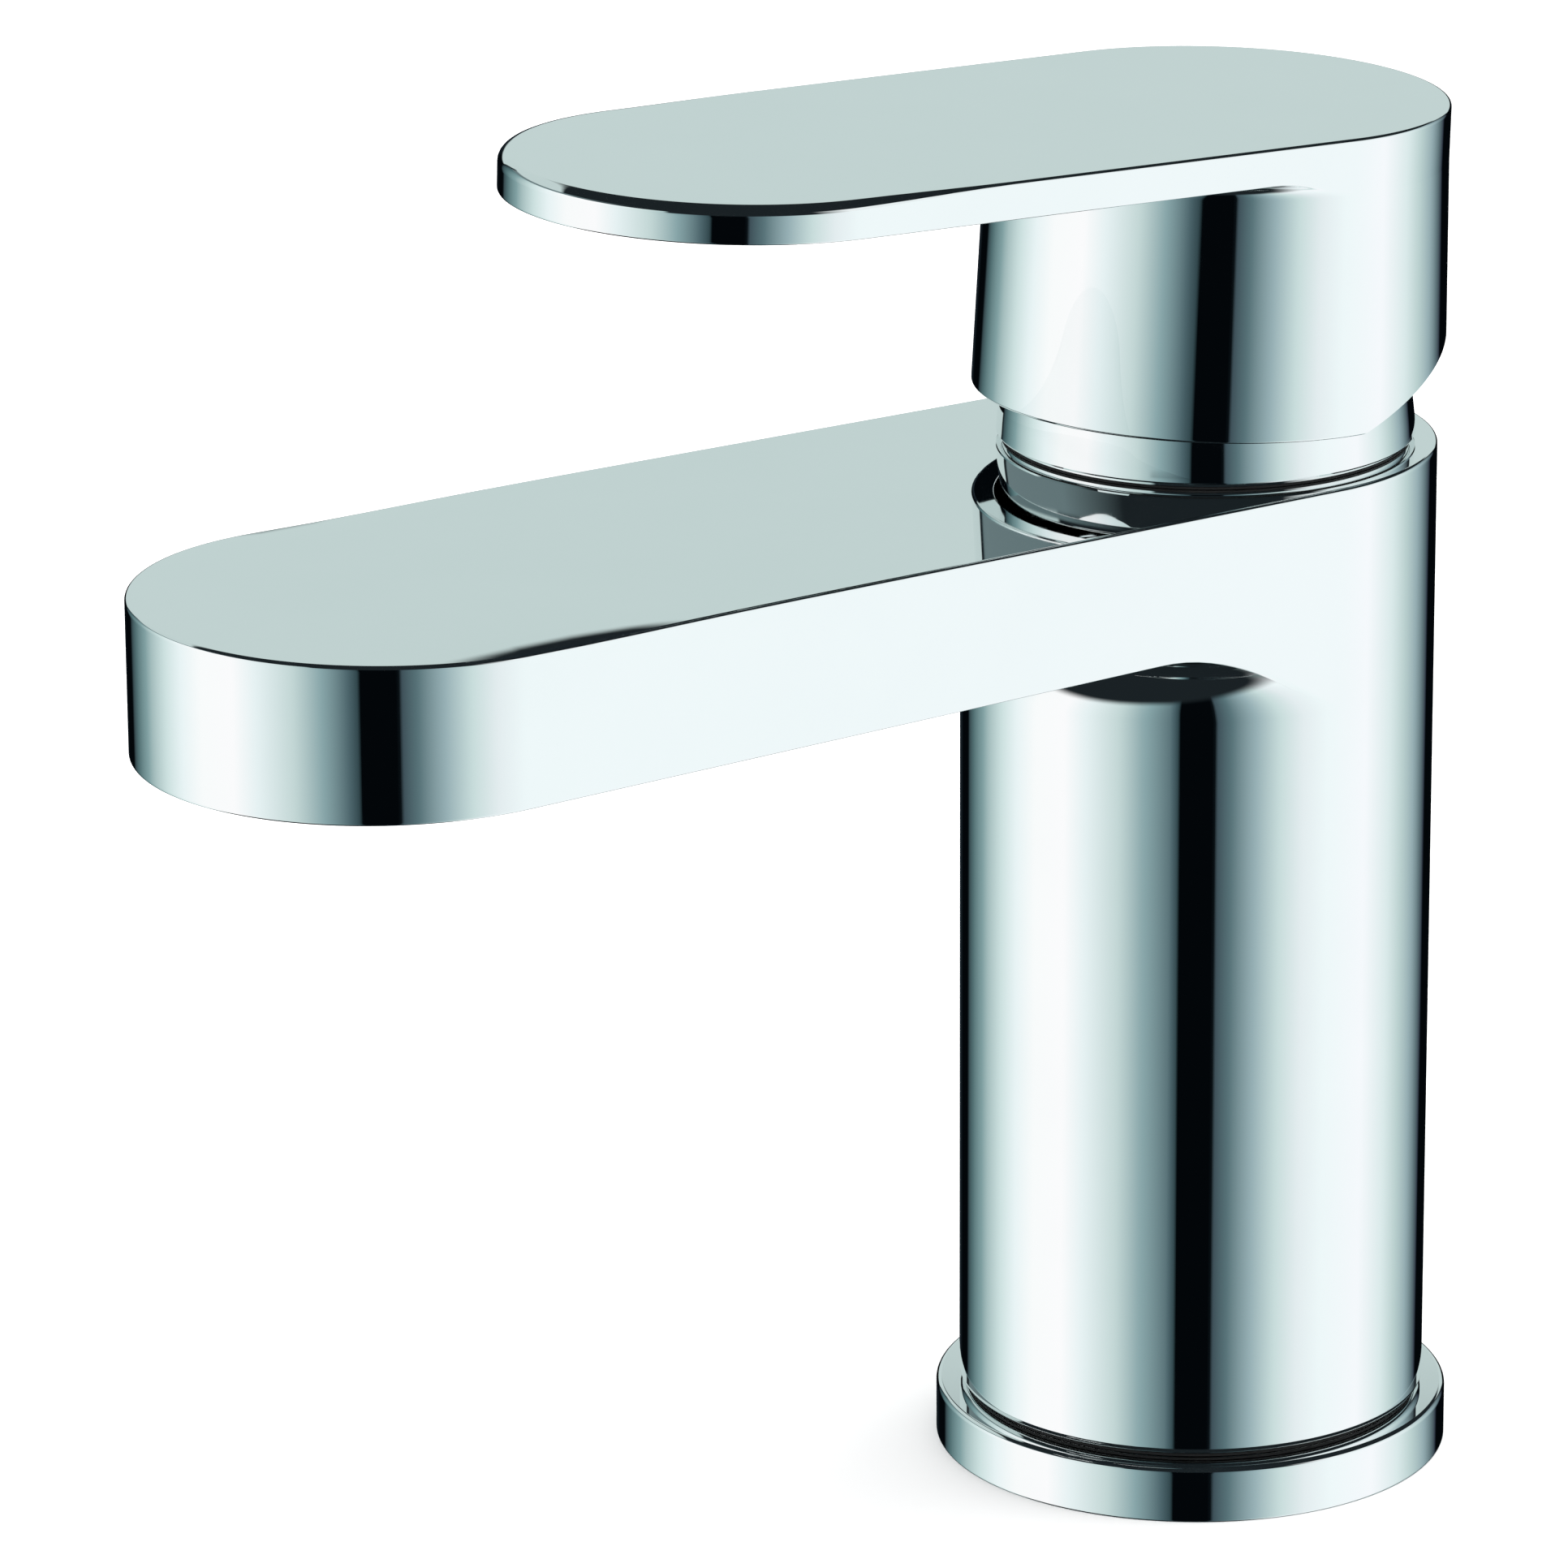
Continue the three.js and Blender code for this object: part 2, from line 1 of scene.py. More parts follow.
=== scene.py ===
"""Single-lever basin mixer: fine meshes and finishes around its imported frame.

Metres, +Z up. The origin is the centre of the base's underside, on the column's axis; the spout and the lever
point to -Y. Sizes in the classes are millimetres and become metres when a mesh is made.
"""

import logging
import math
from dataclasses import dataclass, field
from enum import Enum
from functools import partial
from typing import Callable, Sequence

import bmesh
import bpy
from mathutils import Matrix, Vector


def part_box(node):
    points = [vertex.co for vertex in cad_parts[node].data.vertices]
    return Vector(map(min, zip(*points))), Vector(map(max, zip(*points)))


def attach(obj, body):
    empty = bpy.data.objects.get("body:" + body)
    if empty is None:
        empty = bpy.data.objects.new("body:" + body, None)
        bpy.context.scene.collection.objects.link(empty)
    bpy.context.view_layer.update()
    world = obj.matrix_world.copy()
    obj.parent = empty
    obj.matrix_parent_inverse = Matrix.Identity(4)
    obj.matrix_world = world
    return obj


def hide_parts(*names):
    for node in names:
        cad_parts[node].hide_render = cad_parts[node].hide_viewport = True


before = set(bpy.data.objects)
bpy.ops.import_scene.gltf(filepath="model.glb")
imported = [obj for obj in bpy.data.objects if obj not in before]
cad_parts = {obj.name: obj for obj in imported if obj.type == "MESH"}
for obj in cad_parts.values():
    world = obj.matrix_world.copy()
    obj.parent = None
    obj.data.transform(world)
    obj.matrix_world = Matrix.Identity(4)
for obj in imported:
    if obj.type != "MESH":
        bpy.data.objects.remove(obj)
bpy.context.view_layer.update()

LOG = logging.getLogger("mixer")
MM = 0.001
FRAME_DIGITS = 3
FULL_TURN = 2 * math.pi

# How far beside a rounded corner its support point lies, and how close together points are merged.
SUPPORT = 0.04
MERGE = 0.0005
DEGENERATE = 0.0001

# The angle past which an edge is shaded sharp, and the facets of a corner, a full turn and a drill hole.
SHARP = math.radians(32)
ROUND_STEPS = 6
TURN_STEPS = 160
FINE_TURN_STEPS = 200
HOLE_STEPS = 48

# How deep the spout is at the column's axis, how far the column reaches down past the top of its foot seal's
# node, and how far the foot seal and the black ring of painted shade under the trim ring stay from the faces
# above and below.
SPOUT_DEPTH = 13.2
FOOT_OVERLAP = 0.3
FOOT_SEAL_GAP = 0.05
TRIM_SHADE_RING_GAP = 0.03

Point = tuple[float, float]
Row = Callable[["Station"], Vector]


class Body(Enum):
    """The rigid bodies of the frame that new pieces ride on."""

    FIXED = "faucet_body"
    LEVER = "lever"


class Operation(Enum):
    """What a boolean does with its tools."""

    CUT = "DIFFERENCE"
    JOIN = "UNION"


@dataclass(frozen=True)
class Extent:
    """Lowest and highest corner of a frame node, in millimetres.

    Attributes:
        low: The lowest corner.
        high: The highest corner.
    """

    low: tuple[float, ...]
    high: tuple[float, ...]

    @classmethod
    def of(cls, node: str) -> "Extent":
        """Reads a node's extent from the frame.

        Args:
            node: The node's name.

        Returns:
            Its extent.
        """
        low, high = (tuple(round(value / MM, FRAME_DIGITS) for value in corner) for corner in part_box(node))
        return cls(low, high)

    @property
    def centre(self) -> tuple[float, ...]:
        """The middle of the extent."""
        return tuple((low + high) / 2 for low, high in zip(self.low, self.high))

    @property
    def heights(self) -> tuple[float, float]:
        """Lowest and highest point."""
        return self.low[2], self.high[2]


BODY = Extent.of("body")
BASE_RING = Extent.of("base_ring")
BASE_GASKET = Extent.of("base_gasket")
FOOT_SEAL = Extent.of("foot_seal")
TRIM = Extent.of("trim_ring")
PIVOT = Extent.of("pivot_pin")
SHELL = Extent.of("aerator_shell")
SCREEN = Extent.of("aerator_screen")


# ---------------------------------------------------------------- mesh tools


@dataclass(frozen=True)
class Corner:
    """A corner of a turned profile.

    Attributes:
        r: Distance from the axis.
        z: Height.
        rounding: Radius that the corner is rounded to.
    """

    r: float
    z: float
    rounding: float = 0.0


def rounded_corner(before: Vector, at: Vector, after: Vector, radius: float) -> list[Vector]:
    """Replaces one corner by an arc with a close support point on either side.

    Args:
        before: The corner before it.
        at: The corner itself.
        after: The corner after it.
        radius: The arc's radius.

    Returns:
        The points of the arc, support points included.
    """
    back, forth = (before - at).normalized(), (after - at).normalized()
    half = back.angle(forth) / 2
    reach = radius / math.tan(half)
    centre = at + (back + forth).normalized() * (radius / math.sin(half))
    start = (at + back * reach - centre).normalized()
    end = (at + forth * reach - centre).normalized()
    points = [at + back * (reach + SUPPORT)]
    points += [centre + start.slerp(end, step / ROUND_STEPS) * radius for step in range(ROUND_STEPS + 1)]
    points.append(at + forth * (reach + SUPPORT))
    return points


def smooth_profile(corners: Sequence[Corner], closed: bool) -> list[Point]:
    """Rounds the corners of a profile.

    Args:
        corners: The corners in order.
        closed: Whether the last corner joins the first.

    Returns:
        The profile's points as (radius, height).
    """
    flat = [Vector((corner.r, corner.z)) for corner in corners]
    points: list[Vector] = []
    for index, corner in enumerate(corners):
        at_end = index in (0, len(corners) - 1)
        if corner.rounding == 0 or (at_end and not closed):
            points.append(flat[index])
        else:
            after = flat[(index + 1) % len(flat)]
            points += rounded_corner(flat[index - 1], flat[index], after, corner.rounding)
    return [(point.x, point.y) for point in points]


def tidy(mesh: bmesh.types.BMesh) -> bmesh.types.BMesh:
    """Merges doubles and turns every face outwards.

    Args:
        mesh: The mesh to clean.

    Returns:
        The same mesh.
    """
    bmesh.ops.remove_doubles(mesh, verts=mesh.verts[:], dist=MERGE)
    bmesh.ops.dissolve_degenerate(mesh, dist=DEGENERATE, edges=mesh.edges[:])
    bmesh.ops.recalc_face_normals(mesh, faces=mesh.faces[:])
    return mesh


def turned(
    profile: Sequence[Point], closed: bool = True, y: float = 0.0, steps: int = TURN_STEPS
) -> bmesh.types.BMesh:
    """Turns a profile about a vertical axis.

    Args:
        profile: Points as (radius, height).
        closed: Whether the last point joins the first.
        y: Place of the axis.
        steps: Facets round the full turn.

    Returns:
        The turned mesh.
    """
    mesh = bmesh.new()
    chain = [mesh.verts.new((r, y, z)) for r, z in profile]
    pairs = list(zip(chain, chain[1:])) + ([(chain[-1], chain[0])] if closed else [])
    edges = [mesh.edges.new(pair) for pair in pairs]
    bmesh.ops.spin(
        mesh,
        geom=chain + edges,
        cent=(0, y, 0),
        axis=(0, 0, 1),
        angle=FULL_TURN,
        steps=steps,
        use_merge=True,
    )
    return tidy(mesh)


def ring(
    radii: Point, heights: Point, rounds: Sequence[float], y: float = 0.0, steps: int = TURN_STEPS
) -> bmesh.types.BMesh:
    """Turns a ring whose section has four corners.

    Args:
        radii: Inner and outer radius.
        heights: Lowest and highest point.
        rounds: Rounding of the low inner, low outer, high outer and high inner corner.
        y: Place of the axis.
        steps: Facets round the full turn.

    Returns:
        The ring's mesh.
    """
    (inner, outer), (low, high) = radii, heights
    places = ((inner, low), (outer, low), (outer, high), (inner, high))
    corners = [Corner(r, z, rounding) for (r, z), rounding in zip(places, rounds)]
    return turned(smooth_profile(corners, True), True, y, steps)


def rod(
    radius: float, low: float, high: float, place: Point = (0.0, 0.0), steps: int = 64
) -> bmesh.types.BMesh:
    """Makes a plain upright rod, used for cutting.

    Args:
        radius: The rod's radius.
        low: Height of its foot.
        high: Height of its top.
        place: Its axis as (x, y).
        steps: Facets round it.

    Returns:
        The rod's mesh.
    """
    mesh = bmesh.new()
    at = Matrix.Translation((place[0], place[1], (low + high) / 2))
    bmesh.ops.create_cone(
        mesh, cap_ends=True, segments=steps, radius1=radius, radius2=radius, depth=high - low, matrix=at
    )
    return mesh


def block(size: Sequence[float], centre: Sequence[float], turn: float = 0.0) -> bmesh.types.BMesh:
    """Makes a plain block, used for cutting.

    Args:
        size: Its three sizes.
        centre: Its centre.
        turn: Angle about the X axis through its centre.

    Returns:
        The block's mesh.
    """
    mesh = bmesh.new()
    at = Matrix.Translation(centre) @ Matrix.Rotation(turn, 4, "X") @ Matrix.Diagonal((*size, 1))
    bmesh.ops.create_cube(mesh, size=1, matrix=at)
    return mesh


def laid_along_y(mesh: bmesh.types.BMesh, z: float) -> bmesh.types.BMesh:
    """Lays an upright mesh down, so that its height points to +Y at height z.

    Args:
        mesh: The upright mesh.
        z: Height of its new axis.

    Returns:
        The same mesh.
    """
    lay = Matrix.Translation((0, 0, z)) @ Matrix.Rotation(-math.pi / 2, 4, "X")
    bmesh.ops.transform(mesh, matrix=lay, verts=mesh.verts[:])
    return mesh


def as_object(mesh: bmesh.types.BMesh, name: str, place: Matrix | None = None) -> bpy.types.Object:
    """Turns a mesh in millimetres into a smooth-shaded object in metres.

    Args:
        mesh: The mesh, which is used up.
        name: The object's name.
        place: Where it goes, still in millimetres.

    Returns:
        The new object, at the origin.
    """
    scale = Matrix.Scale(MM, 4) @ (place or Matrix.Identity(4))
    bmesh.ops.transform(mesh, matrix=scale, verts=mesh.verts[:])
    data = bpy.data.meshes.new(name)
    mesh.to_mesh(data)
    mesh.free()
    shade(data)
    made = bpy.data.objects.new(name, data)
    bpy.context.scene.collection.objects.link(made)
    return made


def shade(data: bpy.types.Mesh) -> None:
    """Shades a mesh smooth, with sharp edges where it turns a corner.

    Args:
        data: The mesh.
    """
    data.polygons.foreach_set("use_smooth", [True] * len(data.polygons))
    data.set_sharp_from_angle(angle=SHARP)


def combine(
    target: bpy.types.Object, tools: Sequence[bmesh.types.BMesh], operation: Operation = Operation.CUT
) -> None:
    """Cuts tools out of an object, or joins them to it.

    Args:
        target: The object, in metres.
        tools: Meshes in millimetres, which are used up.
        operation: Whether they are cut out or joined.
    """
    helpers = [as_object(tool, "tool") for tool in tools]
    for helper in helpers:
        modifier = target.modifiers.new("cut", "BOOLEAN")
        modifier.operation = operation.value
        modifier.solver = "EXACT"
        modifier.object = helper
    bpy.context.view_layer.update()
    graph = bpy.context.evaluated_depsgraph_get()
    made = bpy.data.meshes.new_from_object(target.evaluated_get(graph))
    old = target.data
    target.modifiers.clear()
    target.data = made
    bpy.data.meshes.remove(old)
    made.name = target.name
    for helper in helpers:
        data = helper.data
        bpy.data.objects.remove(helper)
        bpy.data.meshes.remove(data)
    shade(made)


# ---------------------------------------------------------------- plate on a post


@dataclass(frozen=True)
class Station:
    """A place on the plan outline of a plate.

    Attributes:
        edge: The outline's point.
        outward: The outline's unit normal there.
    """

    edge: Vector
    outward: Vector

    @property
    def ray(self) -> Vector:
        """Unit direction from the post's axis to the outline."""
        return self.edge.normalized()

    @property
    def reach(self) -> float:
        """Distance of the outline from the post's axis."""
        return self.edge.length


@dataclass(frozen=True)
class PlateOnPost:
    """A flat, round-ended plate that stands out to -Y from the top of a round post, as one rounded skin.

    Attributes:
        root_r: Radius of the post, and of the plate's root.
        tip_r: Radius of the plate's round tip.
        tip_y: Place of the tip's centre.
        under_z: Height of the plate's underside at the post's axis.
        under_slope: Climb of the underside towards +Y.
        top_z: Height of the plate's flat top.
        fillet: Radius of the concave fillet between post and underside.
        edge: Rounding of the plate's lower edge.
        top_edge: Rounding of the plate's upper edge at the root.
        tip_edge: Rounding of the plate's upper edge at the tip.
        edge_change: Distances from the post's axis between which that rounding changes.
        roll: How far polishing has rolled the flat top off at its edge.
        roll_y: Where it has rolled off most.
        roll_reach: How far along the edge that goes.
        roll_width: How far it goes in from the edge.
        roll_shares: Rows of the rolled top, as shares of that width.
        back_steps: Facets of the back arc.
        root_steps: Facets of a straight side near the root.
        root_length: How long that part of the side is.
        root_crowding: Exponent that crowds its facets at the root.
        side_steps: Facets of the rest of a straight side.
        tip_steps: Facets of the tip's arc.
        fillet_steps: Rows of the fillet.
        lower_shares: Rows of the rounded lower edge, as shares of its arc.
        lower_limit: Largest share of the underside's width that the lower edge's rounding takes.
        wall_shares: Rows of the side wall, as shares of its height.
    """

    root_r: float
    tip_r: float
    tip_y: float
    under_z: float
    under_slope: float
    top_z: float
    fillet: float
    edge: float = 0.2
    top_edge: float = 0.35
    tip_edge: float = 0.35
    edge_change: Point = (38.0, 56.0)
    roll: float = 0.0
    roll_y: float = 0.0
    roll_reach: float = 12.0
    roll_width: float = 6.0
    roll_shares: tuple[float, ...] = (0.15, 0.3, 0.5, 0.7, 0.85, 1.0)
    back_steps: int = 100
    root_steps: int = 18
    root_length: float = 21.0
    root_crowding: float = 1.3
    side_steps: int = 12
    tip_steps: int = 88
    fillet_steps: int = 12
    lower_shares: tuple[float, ...] = (0.0, 0.25, 0.5, 0.75)
    lower_limit: float = 0.3
    wall_shares: tuple[float, ...] = (0.0, 0.01, 0.5, 0.99, 1.0)

    def side(self) -> list[float]:
        """Places the stations along one straight side, close together near the root.

        Returns:
            Their shares of the side's length, from the root to just before the tip.
        """
        length = -self.tip_y
        crowded = [(step / self.root_steps) ** self.root_crowding for step in range(self.root_steps)]
        near = [self.root_length * share for share in crowded]
        rest = length - self.root_length
        far = [self.root_length + rest * step / self.side_steps for step in range(self.side_steps)]
        return [distance / length for distance in near + far]

    def stations(self) -> list[Station]:
        """Walks the outline anticlockwise: back arc, left side, tip, right side.

        Returns:
            The stations in order.
        """
        lean = math.asin((self.tip_r - self.root_r) / -self.tip_y)
        found: list[Station] = []

        def on_arc(radius: float, y: float, angle: float) -> Station:
            """A station on one of the two arcs."""
            outward = Vector((math.cos(angle), math.sin(angle)))
            return Station(Vector((0, y)) + outward * radius, outward)

        for step in range(self.back_steps):
            found.append(on_arc(self.root_r, 0, lean + (math.pi - 2 * lean) * step / self.back_steps))
        start, end = on_arc(self.root_r, 0, math.pi - lean), on_arc(self.tip_r, self.tip_y, math.pi - lean)
        left = [Station(start.edge.lerp(end.edge, share), start.outward) for share in self.side()]
        found += left
        for step in range(self.tip_steps + 1):
            angle = math.pi - lean + (math.pi + 2 * lean) * step / self.tip_steps
            found.append(on_arc(self.tip_r, self.tip_y, angle))
        flip = Matrix(((-1, 0), (0, 1)))
        found += [Station(flip @ one.edge, flip @ one.outward) for one in reversed(left[1:])]
        return found

    def under(self, y: float) -> float:
        """Height of the flat underside at y."""
        return self.under_z + self.under_slope * y

    def skin_point(self, at: Vector) -> Vector:
        """The point of the underside, fillet included, above a plan point.

        Args:
            at: Plan point.

        Returns:
            The point in space.
        """
        short = min(max(self.root_r + self.fillet - at.length, 0.0), self.fillet)
        arc = math.sqrt(max(self.fillet**2 - short**2, 0.0))
        return Vector((at.x, at.y, self.under(at.y) - self.fillet + arc))

    def width(self, station: Station) -> float:
        """Width of the underside between post and outline."""
        return max(station.reach - self.root_r, 0.0)

    def lower_round(self, station: Station) -> float:
        """Rounding of the lower edge, which fades out towards the root."""
        return min(self.edge, self.lower_limit * self.width(station))

    def upper_round(self, station: Station) -> float:
        """Rounding of the upper edge, which changes from root to tip.

        Args:
            station: Where on the outline.

        Returns:
            The radius there.
        """
        start, end = self.edge_change
        share = min(max((-station.edge.y - start) / (end - start), 0.0), 1.0)
        return self.top_edge + (self.tip_edge - self.top_edge) * share**2 * (3 - 2 * share)

    def sink(self, station: Station, inward: float) -> float:
        """How far the top has rolled off, at a distance in from the edge."""
        along = math.exp(-(((station.edge.y - self.roll_y) / self.roll_reach) ** 2))
        return self.roll * along * max(1 - inward / self.roll_width, 0.0) ** 2

    def fillet_point(self, share: float, station: Station) -> Vector:
        """A point of the fillet, on the station's ray.

        Args:
            share: Share of the fillet's visible arc.
            station: Where on the outline.

        Returns:
            The point.
        """
        open_part = min(self.width(station) - self.lower_round(station), self.fillet)
        whole = math.acos(1 - open_part / self.fillet)
        out = self.fillet * (1 - math.cos(whole * share))
        return self.skin_point(station.ray * (self.root_r + out))

    def lower_point(self, share: float, station: Station) -> Vector:
        """A point of the rounded lower edge.

        Args:
            share: Share of the way from the underside to the side wall.
            station: Where on the outline.

        Returns:
            The point.
        """
        size = self.lower_round(station)
        inner = self.skin_point(station.edge - station.outward * size)
        corner = self.skin_point(station.edge)
        outer = corner + Vector((0, 0, size))
        return inner.lerp(corner, share).lerp(corner.lerp(outer, share), share)

    def wall_point(self, share: float, station: Station) -> Vector:
        """A point of the side wall, between its lower and upper rounded edges.

        Args:
            share: Share of the wall's height.
            station: Where on the outline.

        Returns:
            The point.
        """
        low = self.skin_point(station.edge).z + self.lower_round(station)
        z = low + (self.top_z - self.sink(station, 0) - self.upper_round(station) - low) * share
        return Vector((*station.edge, z))

    def top_point(self, angle: float, inward: float, station: Station) -> Vector:
        """A point of the rounded upper edge, or of the flat top inside it.

        Args:
            angle: Angle along the rounding, from 0 at the side wall to a right angle at the top.
            inward: How much further in from the edge the point lies.
            station: Where on the outline.

        Returns:
            The point.
        """
        size = self.upper_round(station)
        at = station.edge - station.outward * (size * (1 - math.cos(angle)) + inward)
        z = self.top_z - self.sink(station, inward) - size * (1 - math.sin(angle))
        return Vector((*at, z))

    def post_row(self, radius: float, z: float, y: float = 0.0) -> Row:
        """A plain round row about the post's axis, or about an axis at y."""
        return lambda station: Vector((*(station.ray * radius), z)) + Vector((0, y, 0))

    def outer_rows(self) -> list[Row]:
        """All rows from the fillet's foot to the flat top.

        Returns:
            The rows in order.
        """
        right_angle = math.pi / 2
        angles = [right_angle * step / ROUND_STEPS for step in range(1, ROUND_STEPS + 1)]
        flats = [SUPPORT]
        if self.roll:
            flats += [share * self.roll_width for share in self.roll_shares]
        rows = [partial(self.fillet_point, step / self.fillet_steps) for step in range(self.fillet_steps + 1)]
        rows += [partial(self.lower_point, share) for share in self.lower_shares]
        rows += [partial(self.wall_point, share) for share in self.wall_shares]
        rows += [partial(self.top_point, angle, 0.0) for angle in angles]
        rows += [partial(self.top_point, right_angle, inward) for inward in flats]
        return rows

    def loft(self, rows: Sequence[Row]) -> bmesh.types.BMesh:
        """Spins a chain into a tube, and moves each of its points to its row and station.

        Args:
            rows: The rows from the first pole to the last.

        Returns:
            The closed skin.
        """
        stations = self.stations()
        count = len(stations)
        mesh = bmesh.new()
        chain = [mesh.verts.new((1, 0, index)) for index in range(len(rows))]
        edges = [mesh.edges.new(pair) for pair in zip(chain, chain[1:])]
        bmesh.ops.spin(
            mesh,
            geom=chain + edges,
            cent=(0, 0, 0),
            axis=(0, 0, 1),
            angle=FULL_TURN,
            steps=count,
            use_merge=True,
        )
        for vertex in mesh.verts:
            turn = math.atan2(vertex.co.y, vertex.co.x) / FULL_TURN
            station = stations[round(turn * count) % count]
            vertex.co = rows[round(vertex.co.z)](station)
        return tidy(mesh)


# ---------------------------------------------------------------- finishes

# A Mix node's two colours and its result, whose names it shares with other sockets.
MIX_FIRST = 6
MIX_SECOND = 7
MIX_RESULT = 2


class GroupBuilder:
    """Builds one shader node group."""

    def __init__(self, name: str) -> None:
        """Starts an empty group.

        Args:
            name: The group's name.
        """
        self.tree = bpy.data.node_groups.new(name, "ShaderNodeTree")

    def socket(self, name: str, kind: str, is_input: bool, default: object = None) -> None:
        """Adds a named input or output.

        Args:
            name: The socket's name.
            kind: Its type, such as NodeSocketFloat.
            is_input: Whether it is an input.
            default: Its default value.
        """
        made = self.tree.interface.new_socket(
            name=name, in_out="INPUT" if is_input else "OUTPUT", socket_type=kind
        )
        if default is not None:
            made.default_value = default

    def ends(self) -> tuple[bpy.types.Node, bpy.types.Node]:
        """Makes the group's input and output nodes.

        Returns:
            Both nodes.
        """
        return self.node("NodeGroupInput"), self.node("NodeGroupOutput")

    def node(
        self, kind: str, links: dict[str | int, object] | None = None, **settings: object
    ) -> bpy.types.Node:
        """Adds a node, sets its properties, and feeds its inputs."""
        return add_node(self.tree, kind, links, **settings)


def add_node(
    tree: bpy.types.NodeTree, kind: str, links: dict[str | int, object] | None = None, **settings: object
) -> bpy.types.Node:
    """Adds a node to a tree.

    Args:
        tree: The tree.
        kind: The node's type.
        links: For each input, the output socket that feeds it, or its value.
        settings: The node's properties.

    Returns:
        The new node.
    """
    node = tree.nodes.new(kind)
    for key, value in settings.items():
        setattr(node, key, value)
    for key, value in (links or {}).items():
        if isinstance(value, bpy.types.NodeSocket):
            tree.links.new(value, node.inputs[key])
        else:
            node.inputs[key].default_value = value
    return node


def tone_group() -> bpy.types.NodeTree:
    """Builds the group that mottles a colour between two tones.

    Returns:
        The group, with Tone A, Tone B, Scale and Vector in, and Color and Mask out.
    """
    group = GroupBuilder("mottled_tone")
    group.socket("Vector", "NodeSocketVector", True)
    group.socket("Tone A", "NodeSocketColor", True, (0.8, 0.8, 0.8, 1))
    group.socket("Tone B", "NodeSocketColor", True, (0.7, 0.7, 0.7, 1))
    group.socket("Scale", "NodeSocketFloat", True, 200.0)
    group.socket("Color", "NodeSocketColor", False)
    group.socket("Mask", "NodeSocketFloat", False)
    source, sink = group.ends()
    noise = group.node(
        "ShaderNodeTexNoise",
        {
            "Vector": source.outputs["Vector"],
            "Scale": source.outputs["Scale"],
            "Detail": 4.0,
            "Roughness": 0.6,
        },
    )
    spread = group.node(
        "ShaderNodeMapRange", {"Value": noise.outputs["Fac"], "From Min": 0.35, "From Max": 0.65}, clamp=True
    )
    mixed = group.node(
        "ShaderNodeMix",
        {
            "Factor": spread.outputs["Result"],
            MIX_FIRST: source.outputs["Tone A"],
            MIX_SECOND: source.outputs["Tone B"],
        },
        data_type="RGBA",
    )
    group.tree.links.new(mixed.outputs[MIX_RESULT], sink.inputs["Color"])
    group.tree.links.new(spread.outputs["Result"], sink.inputs["Mask"])
    return group.tree


def grain_group() -> bpy.types.NodeTree:
    """Builds the group for fine surface grain: its roughness and its height.

    Returns:
        The group, with Vector, Scale, Stretch, Roughness Low and High in, and Roughness and Height out.
    """
    group = GroupBuilder("surface_grain")
    group.socket("Vector", "NodeSocketVector", True)
    group.socket("Scale", "NodeSocketFloat", True, 600.0)
    group.socket("Stretch", "NodeSocketVector", True, (1.0, 1.0, 1.0))
    group.socket("Roughness Low", "NodeSocketFloat", True, 0.03)
    group.socket("Roughness High", "NodeSocketFloat", True, 0.06)
    group.socket("Roughness", "NodeSocketFloat", False)
    group.socket("Height", "NodeSocketFloat", False)
    source, sink = group.ends()
    stretched = group.node(
        "ShaderNodeVectorMath",
        {0: source.outputs["Vector"], 1: source.outputs["Stretch"]},
        operation="MULTIPLY",
    )
    fine = group.node(
        "ShaderNodeTexNoise",
        {"Vector": stretched.outputs[0], "Scale": source.outputs["Scale"], "Detail": 3.0, "Roughness": 0.55},
    )
    broad = group.node(
        "ShaderNodeTexNoise", {"Vector": source.outputs["Vector"], "Scale": 45.0, "Detail": 2.0}
    )
    both = group.node("ShaderNodeMath", {0: fine.outputs["Fac"], 1: broad.outputs["Fac"]}, operation="ADD")
    rough = group.node(
        "ShaderNodeMapRange",
        {
            "Value": both.outputs[0],
            "From Min": 0.75,
            "From Max": 1.25,
            "To Min": source.outputs["Roughness Low"],
            "To Max": source.outputs["Roughness High"],
        },
        clamp=True,
    )
    group.tree.links.new(rough.outputs["Result"], sink.inputs["Roughness"])
    group.tree.links.new(fine.outputs["Fac"], sink.inputs["Height"])
    return group.tree


TONE_GROUP = tone_group()
GRAIN_GROUP = grain_group()


